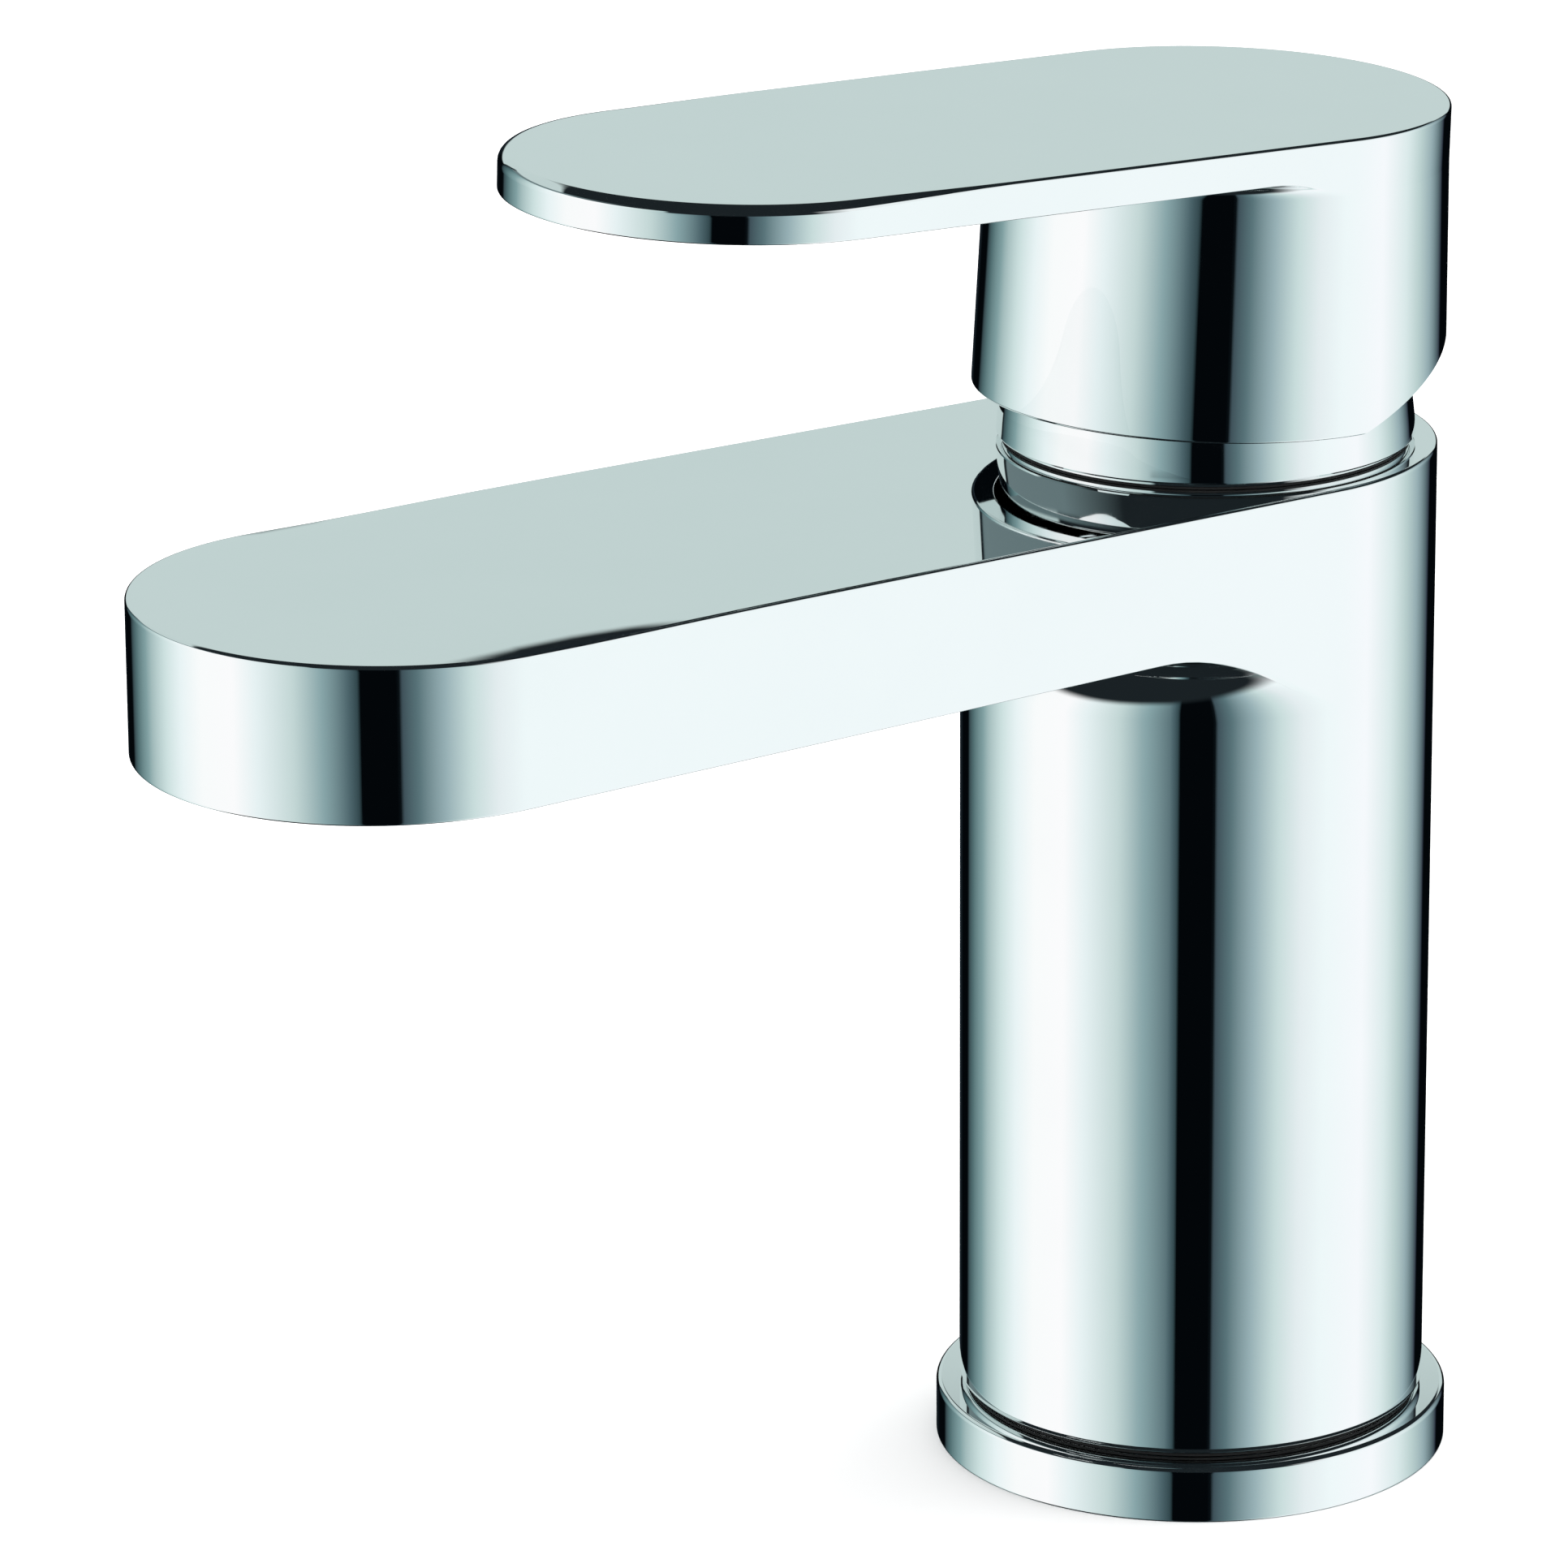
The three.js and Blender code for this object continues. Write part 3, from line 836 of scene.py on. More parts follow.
@dataclass(frozen=True)
class Finish:
    """A finish of the mixer's metals, plastics, ceramic and rubber.

    Attributes:
        name: The material's name.
        tones: The two tones that it is mottled between.
        tone_scale: Scale of the mottling.
        roughness: Lowest and highest roughness.
        metallic: 1 for a metal.
        grain_scale: Scale of the grain.
        stretch: Stretch of the grain along the three axes.
        relief: Depth of the grain in metres.
        relief_strength: Strength of its bump.
        coat: Weight of a clear coat.
    """

    name: str
    tones: tuple[tuple[float, float, float], tuple[float, float, float]]
    roughness: tuple[float, float]
    metallic: float = 0.0
    tone_scale: float = 150.0
    grain_scale: float = 900.0
    stretch: tuple[float, float, float] = (1.0, 1.0, 1.0)
    relief: float = 0.00002
    relief_strength: float = 0.3
    coat: float = 0.0

    def material(self) -> bpy.types.Material:
        """Builds the material.

        Returns:
            The material.
        """
        made = bpy.data.materials.new(self.name)
        made.use_nodes = True
        tree = made.node_tree
        shader = tree.nodes["Principled BSDF"]
        shader.inputs["Metallic"].default_value = self.metallic
        shader.inputs["Coat Weight"].default_value = self.coat
        place = add_node(tree, "ShaderNodeTexCoord").outputs["Object"]
        tone = add_node(tree, "ShaderNodeGroup", node_tree=TONE_GROUP)
        grain = add_node(tree, "ShaderNodeGroup", node_tree=GRAIN_GROUP)
        for node in (tone, grain):
            tree.links.new(place, node.inputs["Vector"])
        tone.inputs["Tone A"].default_value = (*self.tones[0], 1)
        tone.inputs["Tone B"].default_value = (*self.tones[1], 1)
        tone.inputs["Scale"].default_value = self.tone_scale
        grain.inputs["Scale"].default_value = self.grain_scale
        grain.inputs["Stretch"].default_value = self.stretch
        grain.inputs["Roughness Low"].default_value = self.roughness[0]
        grain.inputs["Roughness High"].default_value = self.roughness[1]
        bump = add_node(
            tree,
            "ShaderNodeBump",
            {"Height": grain.outputs["Height"], "Strength": self.relief_strength, "Distance": self.relief},
        )
        tree.links.new(tone.outputs["Color"], shader.inputs["Base Color"])
        tree.links.new(grain.outputs["Roughness"], shader.inputs["Roughness"])
        tree.links.new(bump.outputs["Normal"], shader.inputs["Normal"])
        return made


class Surface(Enum):
    """The finishes that the pieces have."""

    CHROME = Finish(
        "polished_chrome",
        ((0.88, 0.904, 0.905), (0.89, 0.912, 0.913)),
        (0.0, 0.035),
        metallic=1.0,
        tone_scale=60.0,
        grain_scale=500.0,
        relief=0.0000004,
        relief_strength=0.1,
    )
    CAST = Finish(
        "cast_inside",
        ((0.62, 0.6, 0.55), (0.5, 0.48, 0.43)),
        (0.35, 0.55),
        metallic=1.0,
        tone_scale=300.0,
        grain_scale=1400.0,
        relief=0.00008,
        relief_strength=0.5,
    )
    BRASS = Finish(
        "turned_brass",
        ((0.78, 0.6, 0.28), (0.7, 0.52, 0.23)),
        (0.2, 0.38),
        metallic=1.0,
        stretch=(0.15, 0.15, 4.0),
    )
    STEEL = Finish(
        "turned_steel",
        ((0.6, 0.61, 0.62), (0.52, 0.53, 0.55)),
        (0.2, 0.36),
        metallic=1.0,
        stretch=(0.2, 0.2, 4.0),
    )
    HOUSING = Finish("housing_plastic", ((0.66, 0.68, 0.65), (0.7, 0.72, 0.69)), (0.35, 0.5))
    CARRIER = Finish("carrier_plastic", ((0.07, 0.16, 0.3), (0.085, 0.18, 0.33)), (0.35, 0.5))
    INSERT = Finish("insert_plastic", ((0.6, 0.62, 0.63), (0.66, 0.68, 0.69)), (0.3, 0.45))
    CERAMIC = Finish(
        "ground_ceramic", ((0.85, 0.83, 0.78), (0.89, 0.87, 0.82)), (0.12, 0.25), coat=0.3, relief=0.000005
    )
    RUBBER = Finish(
        "seal_rubber", ((0.012, 0.013, 0.014), (0.02, 0.021, 0.022)), (0.6, 0.8), relief=0.00004
    )


MATERIALS = {surface: surface.value.material() for surface in Surface}


def dress(piece: bpy.types.Object, surface: Surface) -> None:
    """Gives a piece or a frame node one finish.

    Args:
        piece: The object.
        surface: The finish.
    """
    if piece.data.materials:
        piece.data.materials[0] = MATERIALS[surface]
    else:
        piece.data.materials.append(MATERIALS[surface])


def settle(piece: bpy.types.Object, body: Body, slot: str, surface: Surface, *nodes: str) -> None:
    """Dresses a finished piece and ties it to the frame.

    Args:
        piece: The piece.
        body: The body it rides on.
        slot: A name for its finish's slot; not used.
        surface: Its finish.
        nodes: The frame nodes it stands for.
    """
    dress(piece, surface)
    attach(piece, body.value)
    if nodes:
        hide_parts(*nodes)
    LOG.info("%s: %d faces, rides on %s", piece.name, len(piece.data.polygons), body.value)


# ---------------------------------------------------------------- the mixer's own parts


@dataclass
class BodyCasting:
    """Column and spout, cast in one, with the recess below, the cartridge bore above and the aerator's bore.

    Attributes:
        skin: The outside of column and spout.
        foot_z: Height of the column's foot.
        foot_round: Rounding of its edge.
        spigot_r: Radius of the spigot that goes down through the base ring.
        spigot_z: Height of the spigot's foot.
        spigot_round: Rounding of its edges.
        recess_r: Radius of the recess for hoses and stud.
        recess_top_z: Height of its ceiling.
        bore_y: Place of the cartridge bore's axis.
        bore_r: Radius of the bore.
        bore_floor_z: Height of its floor.
        thread_r: Radius of the thread for the cartridge nut.
        thread_z: Height of the thread's lower end.
        inlet: Each hose bore's distance aside, its place in y, and its radius.
        inlet_top_z: Height of its end.
        stud: The stud bore's place in y, and its radius.
        stud_top_z: Height of its end.
        outlet_y: Place of the aerator's axis.
        outlet_r: Radius of its bore.
        outlet_top_z: Height of the bore's ceiling.
        outlet_steps: Facets round it.
        clear: How far its cutting tool reaches out below the spout.
        overcut: How far the other cutting tools reach back into the recess.
        near: How far beside a bore's wall a face still belongs to it.
        deep: How far past a bore's end a face still belongs to it.
    """

    skin: PlateOnPost = PlateOnPost(
        root_r=BODY.high[1],
        tip_r=BODY.high[0],
        tip_y=BODY.low[1] + BODY.high[0],
        under_z=BODY.high[2] - SPOUT_DEPTH,
        under_slope=0.0135,
        top_z=BODY.high[2],
        fillet=8.0,
        roll=0.24,
        roll_y=-85.0,
        roll_reach=14.0,
        roll_width=5.0,
    )
    foot_z: float = FOOT_SEAL.high[2] - FOOT_OVERLAP
    foot_round: float = 0.7
    spigot_r: float = 21.2
    spigot_z: float = BODY.low[2]
    spigot_round: float = 0.3
    recess_r: float = 17.5
    recess_top_z: float = 42.0
    bore_y: float = TRIM.centre[1]
    bore_r: float = 17.8
    bore_floor_z: float = 66.5
    thread_r: float = 18.9
    thread_z: float = 94.5
    inlet: tuple[float, float, float] = (7.5, -4.2, 5.0)
    inlet_top_z: float = 52.0
    stud: Point = (9.5, 3.4)
    stud_top_z: float = 56.0
    outlet_y: float = SHELL.centre[1]
    outlet_r: float = 12.1
    outlet_top_z: float = 94.6
    outlet_steps: int = 96
    clear: float = 12.0
    overcut: float = 2.0
    near: float = 0.1
    deep: float = 1.0

    def foot_rows(self) -> list[Row]:
        """Rows of the recess, the spigot and the column's rounded foot.

        Returns:
            The rows in order.
        """
        inner = smooth_profile(
            [
                Corner(0.0, self.recess_top_z),
                Corner(self.recess_r, self.recess_top_z),
                Corner(self.recess_r, self.spigot_z, self.spigot_round),
                Corner(self.spigot_r, self.spigot_z, self.spigot_round),
                Corner(self.spigot_r, self.foot_z),
                Corner(self.skin.root_r, self.foot_z, self.foot_round),
                Corner(self.skin.root_r, self.skin.under_z - self.skin.fillet),
            ],
            False,
        )
        return [self.skin.post_row(r, z) for r, z in inner[:-1]]

    def bore_rows(self) -> list[Row]:
        """Rows of the cartridge bore, from the flat top down to its floor.

        Returns:
            The rows in order.
        """
        corners = [
            (self.thread_r, self.skin.top_z),
            (self.thread_r, self.thread_z),
            (self.bore_r, self.thread_z),
            (self.bore_r, self.bore_floor_z),
            (0.0, self.bore_floor_z),
        ]
        return [self.skin.post_row(r, z, self.bore_y) for r, z in corners]

    def cutters(self) -> list[bmesh.types.BMesh]:
        """The aerator's bore, the two hose bores and the stud's bore.

        Returns:
            The cutting meshes.
        """
        outlet_low, low = self.skin.under_z - self.clear, self.recess_top_z - self.overcut
        x, y, radius = self.inlet
        stud_y, stud_r = self.stud
        tools = [rod(self.outlet_r, outlet_low, self.outlet_top_z, (0, self.outlet_y), self.outlet_steps)]
        tools += [rod(radius, low, self.inlet_top_z, (side * x, y)) for side in (-1, 1)]
        tools.append(rod(stud_r, low, self.stud_top_z, (0, stud_y)))
        return tools

    def build(self) -> None:
        """Builds the casting."""
        rows = self.foot_rows() + self.skin.outer_rows() + self.bore_rows()
        piece = as_object(self.skin.loft(rows), "body_casting")
        combine(piece, self.cutters())
        settle(piece, Body.FIXED, "body_chrome", Surface.CHROME, "body")
        self.roughen(piece)

    def roughen(self, piece: bpy.types.Object) -> None:
        """Leaves the unplated inner faces as they were cast.

        Args:
            piece: The casting.
        """
        piece.data.materials.append(MATERIALS[Surface.CAST])
        for face in piece.data.polygons:
            if self.is_inner(face.center / MM):
                face.material_index = 1

    def is_inner(self, at: Vector) -> bool:
        """Tells whether a point of the casting lies in its recess, its cartridge bore or its aerator's bore.

        Args:
            at: The point.

        Returns:
            Whether it does.
        """
        near, deep = self.near, self.deep
        bores = (
            (0.0, self.recess_r, -math.inf, self.bore_floor_z + deep),
            (self.bore_y, self.thread_r, self.bore_floor_z - deep, self.skin.top_z - near),
            (self.outlet_y, self.outlet_r, self.skin.under_z + deep, self.outlet_top_z + near),
        )
        return any(
            math.hypot(at.x, at.y - y) < radius + near and low < at.z < high for y, radius, low, high in bores
        )


@dataclass
class BaseSet:
    """The ring under the column, the thin seal in the gap above it and the gasket inside it.

    Attributes:
        ring_r: Inner and outer radius of the chrome ring.
        ring_z: Its lowest and highest point.
        ring_rounds: Rounding of its four corners.
        seal_r: Inner and outer radius of the foot seal.
        seal_z: Its lowest and highest point.
        seal_round: Rounding of its corners.
        gasket_r: Inner and outer radius of the gasket.
        gasket_z: Its lowest and highest point.
        gasket_round: Rounding of its corners.
    """

    ring_r: Point = (21.6, BASE_RING.high[0])
    ring_z: Point = (0.0, BASE_RING.high[2])
    ring_rounds: tuple[float, ...] = (0.2, 0.2, 0.5, 0.2)
    seal_r: Point = (21.35, 21.75)
    seal_z: Point = (FOOT_SEAL.low[2] - FOOT_SEAL_GAP, FOOT_SEAL.high[2] - FOOT_OVERLAP - FOOT_SEAL_GAP)
    seal_round: float = 0.08
    gasket_r: Point = (17.8, BASE_GASKET.high[0])
    gasket_z: Point = BASE_GASKET.heights
    gasket_round: float = 0.4

    def build(self) -> None:
        """Builds the three rings."""
        mesh = ring(self.ring_r, self.ring_z, self.ring_rounds, steps=FINE_TURN_STEPS)
        settle(as_object(mesh, "base_ring_polished"), Body.FIXED, "ring_chrome", Surface.CHROME, "base_ring")
        self.rubber_ring("foot_seal_ring", self.seal_r, self.seal_z, self.seal_round, "foot_seal")
        self.rubber_ring("base_gasket_ring", self.gasket_r, self.gasket_z, self.gasket_round, "base_gasket")

    def rubber_ring(self, name: str, radii: Point, heights: Point, rounding: float, node: str) -> None:
        """Builds one rubber ring.

        Args:
            name: The piece's name.
            radii: Inner and outer radius.
            heights: Lowest and highest point.
            rounding: Rounding of its corners.
            node: The frame node it stands for.
        """
        mesh = ring(radii, heights, (rounding,) * 4)
        settle(as_object(mesh, name), Body.FIXED, "rubber", Surface.RUBBER, node)


@dataclass
class TrimRing:
    """The polished ring and dome round the cartridge's neck.

    Attributes:
        axis_y: Place of the axis.
        foot_z: Height of the foot.
        wall: Thickness of the wall.
        foot: Corners of the foot, heights counted from it.
        curve: Points that the curved outside runs through, heights counted from the foot.
        seal_r: Inner and outer radius of the black ring under the ring, which paints the shade of the gap
            there.
        seal_z: Its lowest and highest point.
        shade_ring_rounds: Rounding of its four corners.
    """

    axis_y: float = TRIM.centre[1]
    foot_z: float = TRIM.low[2]
    wall: float = 1.0
    foot: tuple[Point, ...] = ((19.2, 0.0), (19.2, 0.28), (19.6, 0.3), (19.73, 0.36), (19.8, 0.5))
    curve: tuple[Point, ...] = (
        (19.79, 0.6),
        (19.62, 2.5),
        (19.3, 4.7),
        (18.6, 6.5),
        (17.2, 8.3),
        (15.0, TRIM.high[2] - TRIM.low[2]),
    )
    seal_r: Point = (18.9, 19.25)
    seal_z: Point = (BODY.high[2] + TRIM_SHADE_RING_GAP, TRIM.low[2] - TRIM_SHADE_RING_GAP)
    shade_ring_rounds: tuple[float, ...] = (0.0, 0.05, 0.05, 0.0)

    def build(self) -> None:
        """Builds the ring and, under it, a thin black ring that paints the shade of the gap."""
        dome = self.eased(self.curve)
        outside = [*self.foot, *dome]
        inside = [(r - self.wall, z) for r, z in reversed([self.foot[0], *dome])]
        profile = [(r, self.foot_z + z) for r, z in outside + inside]
        mesh = turned(profile, True, self.axis_y, FINE_TURN_STEPS)
        settle(as_object(mesh, "trim_ring_polished"), Body.FIXED, "trim_chrome", Surface.CHROME, "trim_ring")
        # The black rubber ring below fills the gap under the trim ring: painted shade, standing in for the
        # gap's shade.
        seal = ring(self.seal_r, self.seal_z, self.shade_ring_rounds, self.axis_y)
        settle(as_object(seal, "trim_gap_shade_ring"), Body.FIXED, "rubber", Surface.RUBBER)

    @classmethod
    def eased(cls, points: Sequence[Point], cuts: int = 4) -> list[Point]:
        """Runs a smooth curve through points.

        Args:
            points: The points.
            cuts: Steps between two of them.

        Returns:
            The curve's points.
        """
        ends = [points[0], *points, points[-1]]
        curve: list[Point] = []
        for four in zip(ends, ends[1:], ends[2:], ends[3:]):
            for step in range(cuts):
                curve.append(tuple(cls.eased_value(values, step / cuts) for values in zip(*four)))
        return [*curve, points[-1]]

    @staticmethod
    def eased_value(values: Sequence[float], share: float) -> float:
        """One coordinate of a Catmull-Rom curve, between the middle two of four points.

        Args:
            values: The four points' values of the coordinate.
            share: Share of the way from the second to the third.

        Returns:
            The curve's value there.
        """
        a, b, c, d = values
        square = (2 * a - 5 * b + 4 * c - d) * share**2
        cube = (3 * b - a - 3 * c + d) * share**3
        return 0.5 * (2 * b + (c - a) * share + square + cube)


@dataclass
class LeverHandle:
    """Hub and flat lever in one, hollow below, with its socket, grub-screw rib and the plug in its back.

    Heights are in the lever's own frame, which sits at the pivot and is tilted with the lever.

    Attributes:
        pivot: Place of the pivot pin.
        tilt: How far the lever's front is up at rest.
        skin: The outside of hub and plate.
        foot_r: Radius of the hub's foot.
        foot_z: Height of the foot.
        foot_round: Rounding of its outer edge.
        hollow_r: Radius of the hollow at the foot and at its ceiling.
        hollow_rounds: Rounding of the hollow at the foot and at its ceiling.
        hollow_top_z: Height of the ceiling.
        cut_y: Where the slope that frees the hub's back begins.
        cut_angle: Angle of that slope.
        boss_r: Radius of the boss on the spindle.
        boss_z: Height of its foot.
        boss_steps: Facets round it.
        boss_overlap: How far it runs into the ceiling.
        square: Width of the spindle's square socket.
        square_top_z: Height of the socket's end.
        overcut: How far the socket's cutting tool reaches out below the boss.
        rib: Width of the rib round the grub screw.
        rib_gap: How far short of the hollow's widest radius it ends.
        screw_z: Height of the grub screw's axis.
        screw_r: Radius of its hole.
        seat_r: Radius of the plug's seat.
        seat_y: Where the seat begins.
        plug_r: Radius of the plug.
        plug_y: Where the plug begins and ends.
        plug_rounds: Rounding of its inner and its outer edge.
        plug_crown: How far its middle stands out.
        plug_steps: Facets round it.
        reach: Size of the cutting tools, larger than the lever.
    """

    pivot: tuple[float, ...] = PIVOT.centre
    tilt: float = math.radians(2)
    skin: PlateOnPost = PlateOnPost(
        root_r=21.7,
        tip_r=21.3,
        tip_y=-54.3,
        under_z=31.7,
        under_slope=0.0,
        top_z=35.2,
        fillet=1.8,
        top_edge=0.34,
        tip_edge=1.0,
        root_length=16.0,
    )
    foot_r: float = 22.35
    foot_z: float = 7.2
    foot_round: float = 0.25
    hollow_r: Point = (20.2, 19.4)
    hollow_rounds: Point = (0.2, 1.0)
    hollow_top_z: float = 32.0
    cut_y: float = 1.5
    cut_angle: float = math.radians(21)
    boss_r: float = 7.5
    boss_z: float = 17.2
    boss_steps: int = 72
    boss_overlap: float = 0.3
    square: float = 7.5
    square_top_z: float = 28.8
    overcut: float = 1.0
    rib: float = 9.0
    rib_gap: float = 0.4
    screw_z: float = 23.0
    screw_r: float = 2.7
    seat_r: float = 3.4
    seat_y: float = 19.7
    plug_r: float = 3.1
    plug_y: Point = (20.0, 21.6)
    plug_rounds: Point = (0.2, 0.5)
    plug_crown: float = 0.15
    plug_steps: int = 72
    reach: float = 60.0

    def place(self) -> Matrix:
        """Where the lever's own frame sits at rest."""
        return Matrix.Translation(self.pivot) @ Matrix.Rotation(-self.tilt, 4, "X")

    def shell(self) -> bmesh.types.BMesh:
        """Builds hub and plate, hollow from below.

        Returns:
            The closed shell.
        """
        wide, narrow = self.hollow_r
        foot_round, top_round = self.hollow_rounds
        inner = smooth_profile(
            [
                Corner(0.0, self.hollow_top_z),
                Corner(narrow, self.hollow_top_z, top_round),
                Corner(wide, self.foot_z, foot_round),
                Corner(self.foot_r, self.foot_z, self.foot_round),
                Corner(self.skin.root_r, self.skin.under_z - self.skin.fillet),
            ],
            False,
        )
        rows = [self.skin.post_row(r, z) for r, z in inner[:-1]]
        rows += self.skin.outer_rows()
        rows.append(self.skin.post_row(0.0, self.skin.top_z))
        return self.skin.loft(rows)

    def wedge(self) -> bmesh.types.BMesh:
        """Makes the block that slopes the hub's back away.

        Returns:
            The block's mesh.
        """
        size = self.reach
        mesh = block((2 * size, 2 * size, size), (0, 0, -size / 2))
        slope = Matrix.Translation((0, self.cut_y, self.foot_z)) @ Matrix.Rotation(self.cut_angle, 4, "X")
        bmesh.ops.transform(mesh, matrix=slope, verts=mesh.verts[:])
        return mesh

    def drill(self, radius: float, start: float) -> bmesh.types.BMesh:
        """A rod on the grub screw's axis that runs out through the hub's back."""
        return laid_along_y(rod(radius, start, self.reach, steps=HOLE_STEPS), self.screw_z)

    def build(self) -> None:
        """Builds the lever, its inner boss and the plug."""
        piece = as_object(self.shell(), "lever_casting")
        combine(piece, [self.wedge(), self.drill(self.seat_r, self.seat_y), self.drill(self.screw_r, 0)])
        self.move(piece)
        settle(piece, Body.LEVER, "lever_chrome", Surface.CHROME, "lever_handle")
        self.build_boss()
        self.build_plug()

    def build_boss(self) -> None:
        """Builds the boss with its square socket and the rib round the grub screw."""
        high = self.hollow_top_z + self.boss_overlap
        boss = as_object(rod(self.boss_r, self.boss_z, high, steps=self.boss_steps), "lever_boss")
        length = self.hollow_r[0] - self.rib_gap
        rib = block((self.rib, length, self.rib), (0, length / 2, self.screw_z))
        combine(boss, [rib], Operation.JOIN)
        low = self.boss_z - self.overcut
        height = self.square_top_z - low
        socket = block((self.square, self.square, height), (0, 0, low + height / 2))
        combine(boss, [socket, self.drill(self.screw_r, 0)])
        self.move(boss)
        settle(boss, Body.LEVER, "lever_chrome", Surface.CAST)

    def build_plug(self) -> None:
        """Builds the domed plug over the grub screw."""
        low, high = self.plug_y
        inner_round, outer_round = self.plug_rounds
        profile = smooth_profile(
            [
                Corner(0, low),
                Corner(self.plug_r, low, inner_round),
                Corner(self.plug_r, high, outer_round),
                Corner(0, high + self.plug_crown),
            ],
            False,
        )
        mesh = laid_along_y(turned(profile, False, 0, self.plug_steps), self.screw_z)
        piece = as_object(mesh, "plug_cap")
        self.move(piece)
        settle(piece, Body.LEVER, "insert_plastic", Surface.INSERT, "screw_plug")

    def move(self, piece: bpy.types.Object) -> None:
        """Moves a mesh from the lever's own frame to its place at rest.

        Args:
            piece: The piece, in metres.
        """
        scale = Matrix.Scale(MM, 4)
        piece.data.transform(scale @ self.place() @ scale.inverted())


@dataclass
class Aerator:
    """The flush aerator under the spout's tip: a notched shell and a honeycomb screen.

    Attributes:
        y: Place of the axis.
        shell_r: Inner and outer radius of the shell.
        shell_z: Its lowest and highest point.
        shell_rounds: Rounding of its four corners.
        shell_steps: Facets round it.
        notch: Width of the key notches.
        notch_depth: Their depth.
        notch_tool: Height of the block that cuts them.
        screen_r: Outer radius of the screen.
        screen_z: Its lowest and highest point.
        pitch: Distance between two of its holes.
        web: Half the thickness of the web between them.
        weld: How close together the cells' corners are merged.
        rim: Width of the screen's rim.
        rim_drop: How far the rim stands out below the web.
        rim_round: Rounding of its corners.
        rim_steps: Facets round it.
        cell_margin: How far inside the rim the middle of the outermost cells stays.
    """

    y: float = SHELL.centre[1]
    shell_r: Point = (10.5, SHELL.high[0])
    shell_z: Point = SHELL.heights
    shell_rounds: tuple[float, ...] = (0.3, 0.4, 0.2, 0.2)
    shell_steps: int = 144
    notch: float = 2.0
    notch_depth: float = 1.0
    notch_tool: float = 2.0
    screen_r: float = SCREEN.high[0]
    screen_z: Point = SCREEN.heights
    pitch: float = 2.3
    web: float = 0.22
    weld: float = 0.01
    rim: float = 0.9
    rim_drop: float = 0.1
    rim_round: float = 0.15
    rim_steps: int = 120
    cell_margin: float = 0.1

    def build(self) -> None:
        """Builds the shell and the screen."""
        mesh = ring(self.shell_r, self.shell_z, self.shell_rounds, self.y, self.shell_steps)
        piece = as_object(mesh, "aerator_shell_polished")
        reach = 4 * self.shell_r[1]
        height = self.shell_z[0] + self.notch_depth - self.notch_tool / 2
        across = [(reach, self.notch, self.notch_tool), (self.notch, reach, self.notch_tool)]
        combine(piece, [block(size, (0, self.y, height)) for size in across])
        settle(piece, Body.FIXED, "aerator_chrome", Surface.CHROME, "aerator_shell")
        self.build_screen()

    def honeycomb(self) -> bmesh.types.BMesh:
        """Builds the web of six-sided holes.

        Returns:
            The web's mesh.
        """
        mesh = bmesh.new()
        low, high = self.screen_z
        inner = self.screen_r - self.rim
        count = int(inner / self.pitch) + 2
        corner_r = self.pitch / math.sqrt(3)
        turn = Matrix.Rotation(math.pi / 6, 4, "Z")
        for column in range(-count, count + 1):
            for line in range(-count, count + 1):
                x = self.pitch * (column + line / 2)
                y = self.pitch * line * math.sqrt(3) / 2
                if math.hypot(x, y) < inner - self.cell_margin:
                    at = Matrix.Translation((x, y + self.y, low)) @ turn
                    bmesh.ops.create_circle(mesh, cap_ends=True, segments=6, radius=corner_r, matrix=at)
        bmesh.ops.remove_doubles(mesh, verts=mesh.verts[:], dist=self.weld)
        cells = mesh.faces[:]
        bmesh.ops.inset_individual(mesh, faces=cells, thickness=self.web)
        bmesh.ops.delete(mesh, geom=cells, context="FACES")
        grown = bmesh.ops.extrude_face_region(mesh, geom=mesh.faces[:])
        raised = [item for item in grown["geom"] if isinstance(item, bmesh.types.BMVert)]
        bmesh.ops.translate(mesh, verts=raised, vec=(0, 0, high - low))
        bmesh.ops.recalc_face_normals(mesh, faces=mesh.faces[:])
        return mesh

    def build_screen(self) -> None:
        """Builds the honeycomb and the rim round it."""
        low, high = self.screen_z
        web = as_object(self.honeycomb(), "aerator_honeycomb")
        settle(web, Body.FIXED, "insert_plastic", Surface.INSERT, "aerator_screen")
        radii = (self.screen_r - self.rim, self.screen_r)
        rim = ring(radii, (low - self.rim_drop, high), (self.rim_round,) * 4, self.y, self.rim_steps)
        settle(as_object(rim, "aerator_screen_rim"), Body.FIXED, "insert_plastic", Surface.INSERT)


@dataclass
class HiddenWorks:
    """The cartridge and the other inner pieces, which keep the frame's meshes and get their finishes."""

    surfaces: dict[str, Surface] = field(
        default_factory=lambda: {
            "cartridge_nut": Surface.BRASS,
            "cartridge_housing": Surface.HOUSING,
            "housing_o_ring": Surface.RUBBER,
            "cartridge_base": Surface.HOUSING,
            "port_seal_hot": Surface.RUBBER,
            "port_seal_cold": Surface.RUBBER,
            "disc_seal_hot": Surface.RUBBER,
            "disc_seal_cold": Surface.RUBBER,
            "disc_seal_outlet": Surface.RUBBER,
            "fixed_disc": Surface.CERAMIC,
            "moving_disc": Surface.CERAMIC,
            "disc_carrier": Surface.CARRIER,
            "turret": Surface.CARRIER,
            "pivot_pin": Surface.STEEL,
            "spindle": Surface.STEEL,
            "grub_screw": Surface.STEEL,
            "aerator_regulator": Surface.INSERT,
            "aerator_washer": Surface.RUBBER,
        }
    )

    def build(self) -> None:
        """Dresses each inner node."""
        for name, surface in self.surfaces.items():
            dress(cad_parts[name], surface)
            LOG.info("%s: frame node, %s", name, surface.name.lower())


# ---------------------------------------------------------------- studio

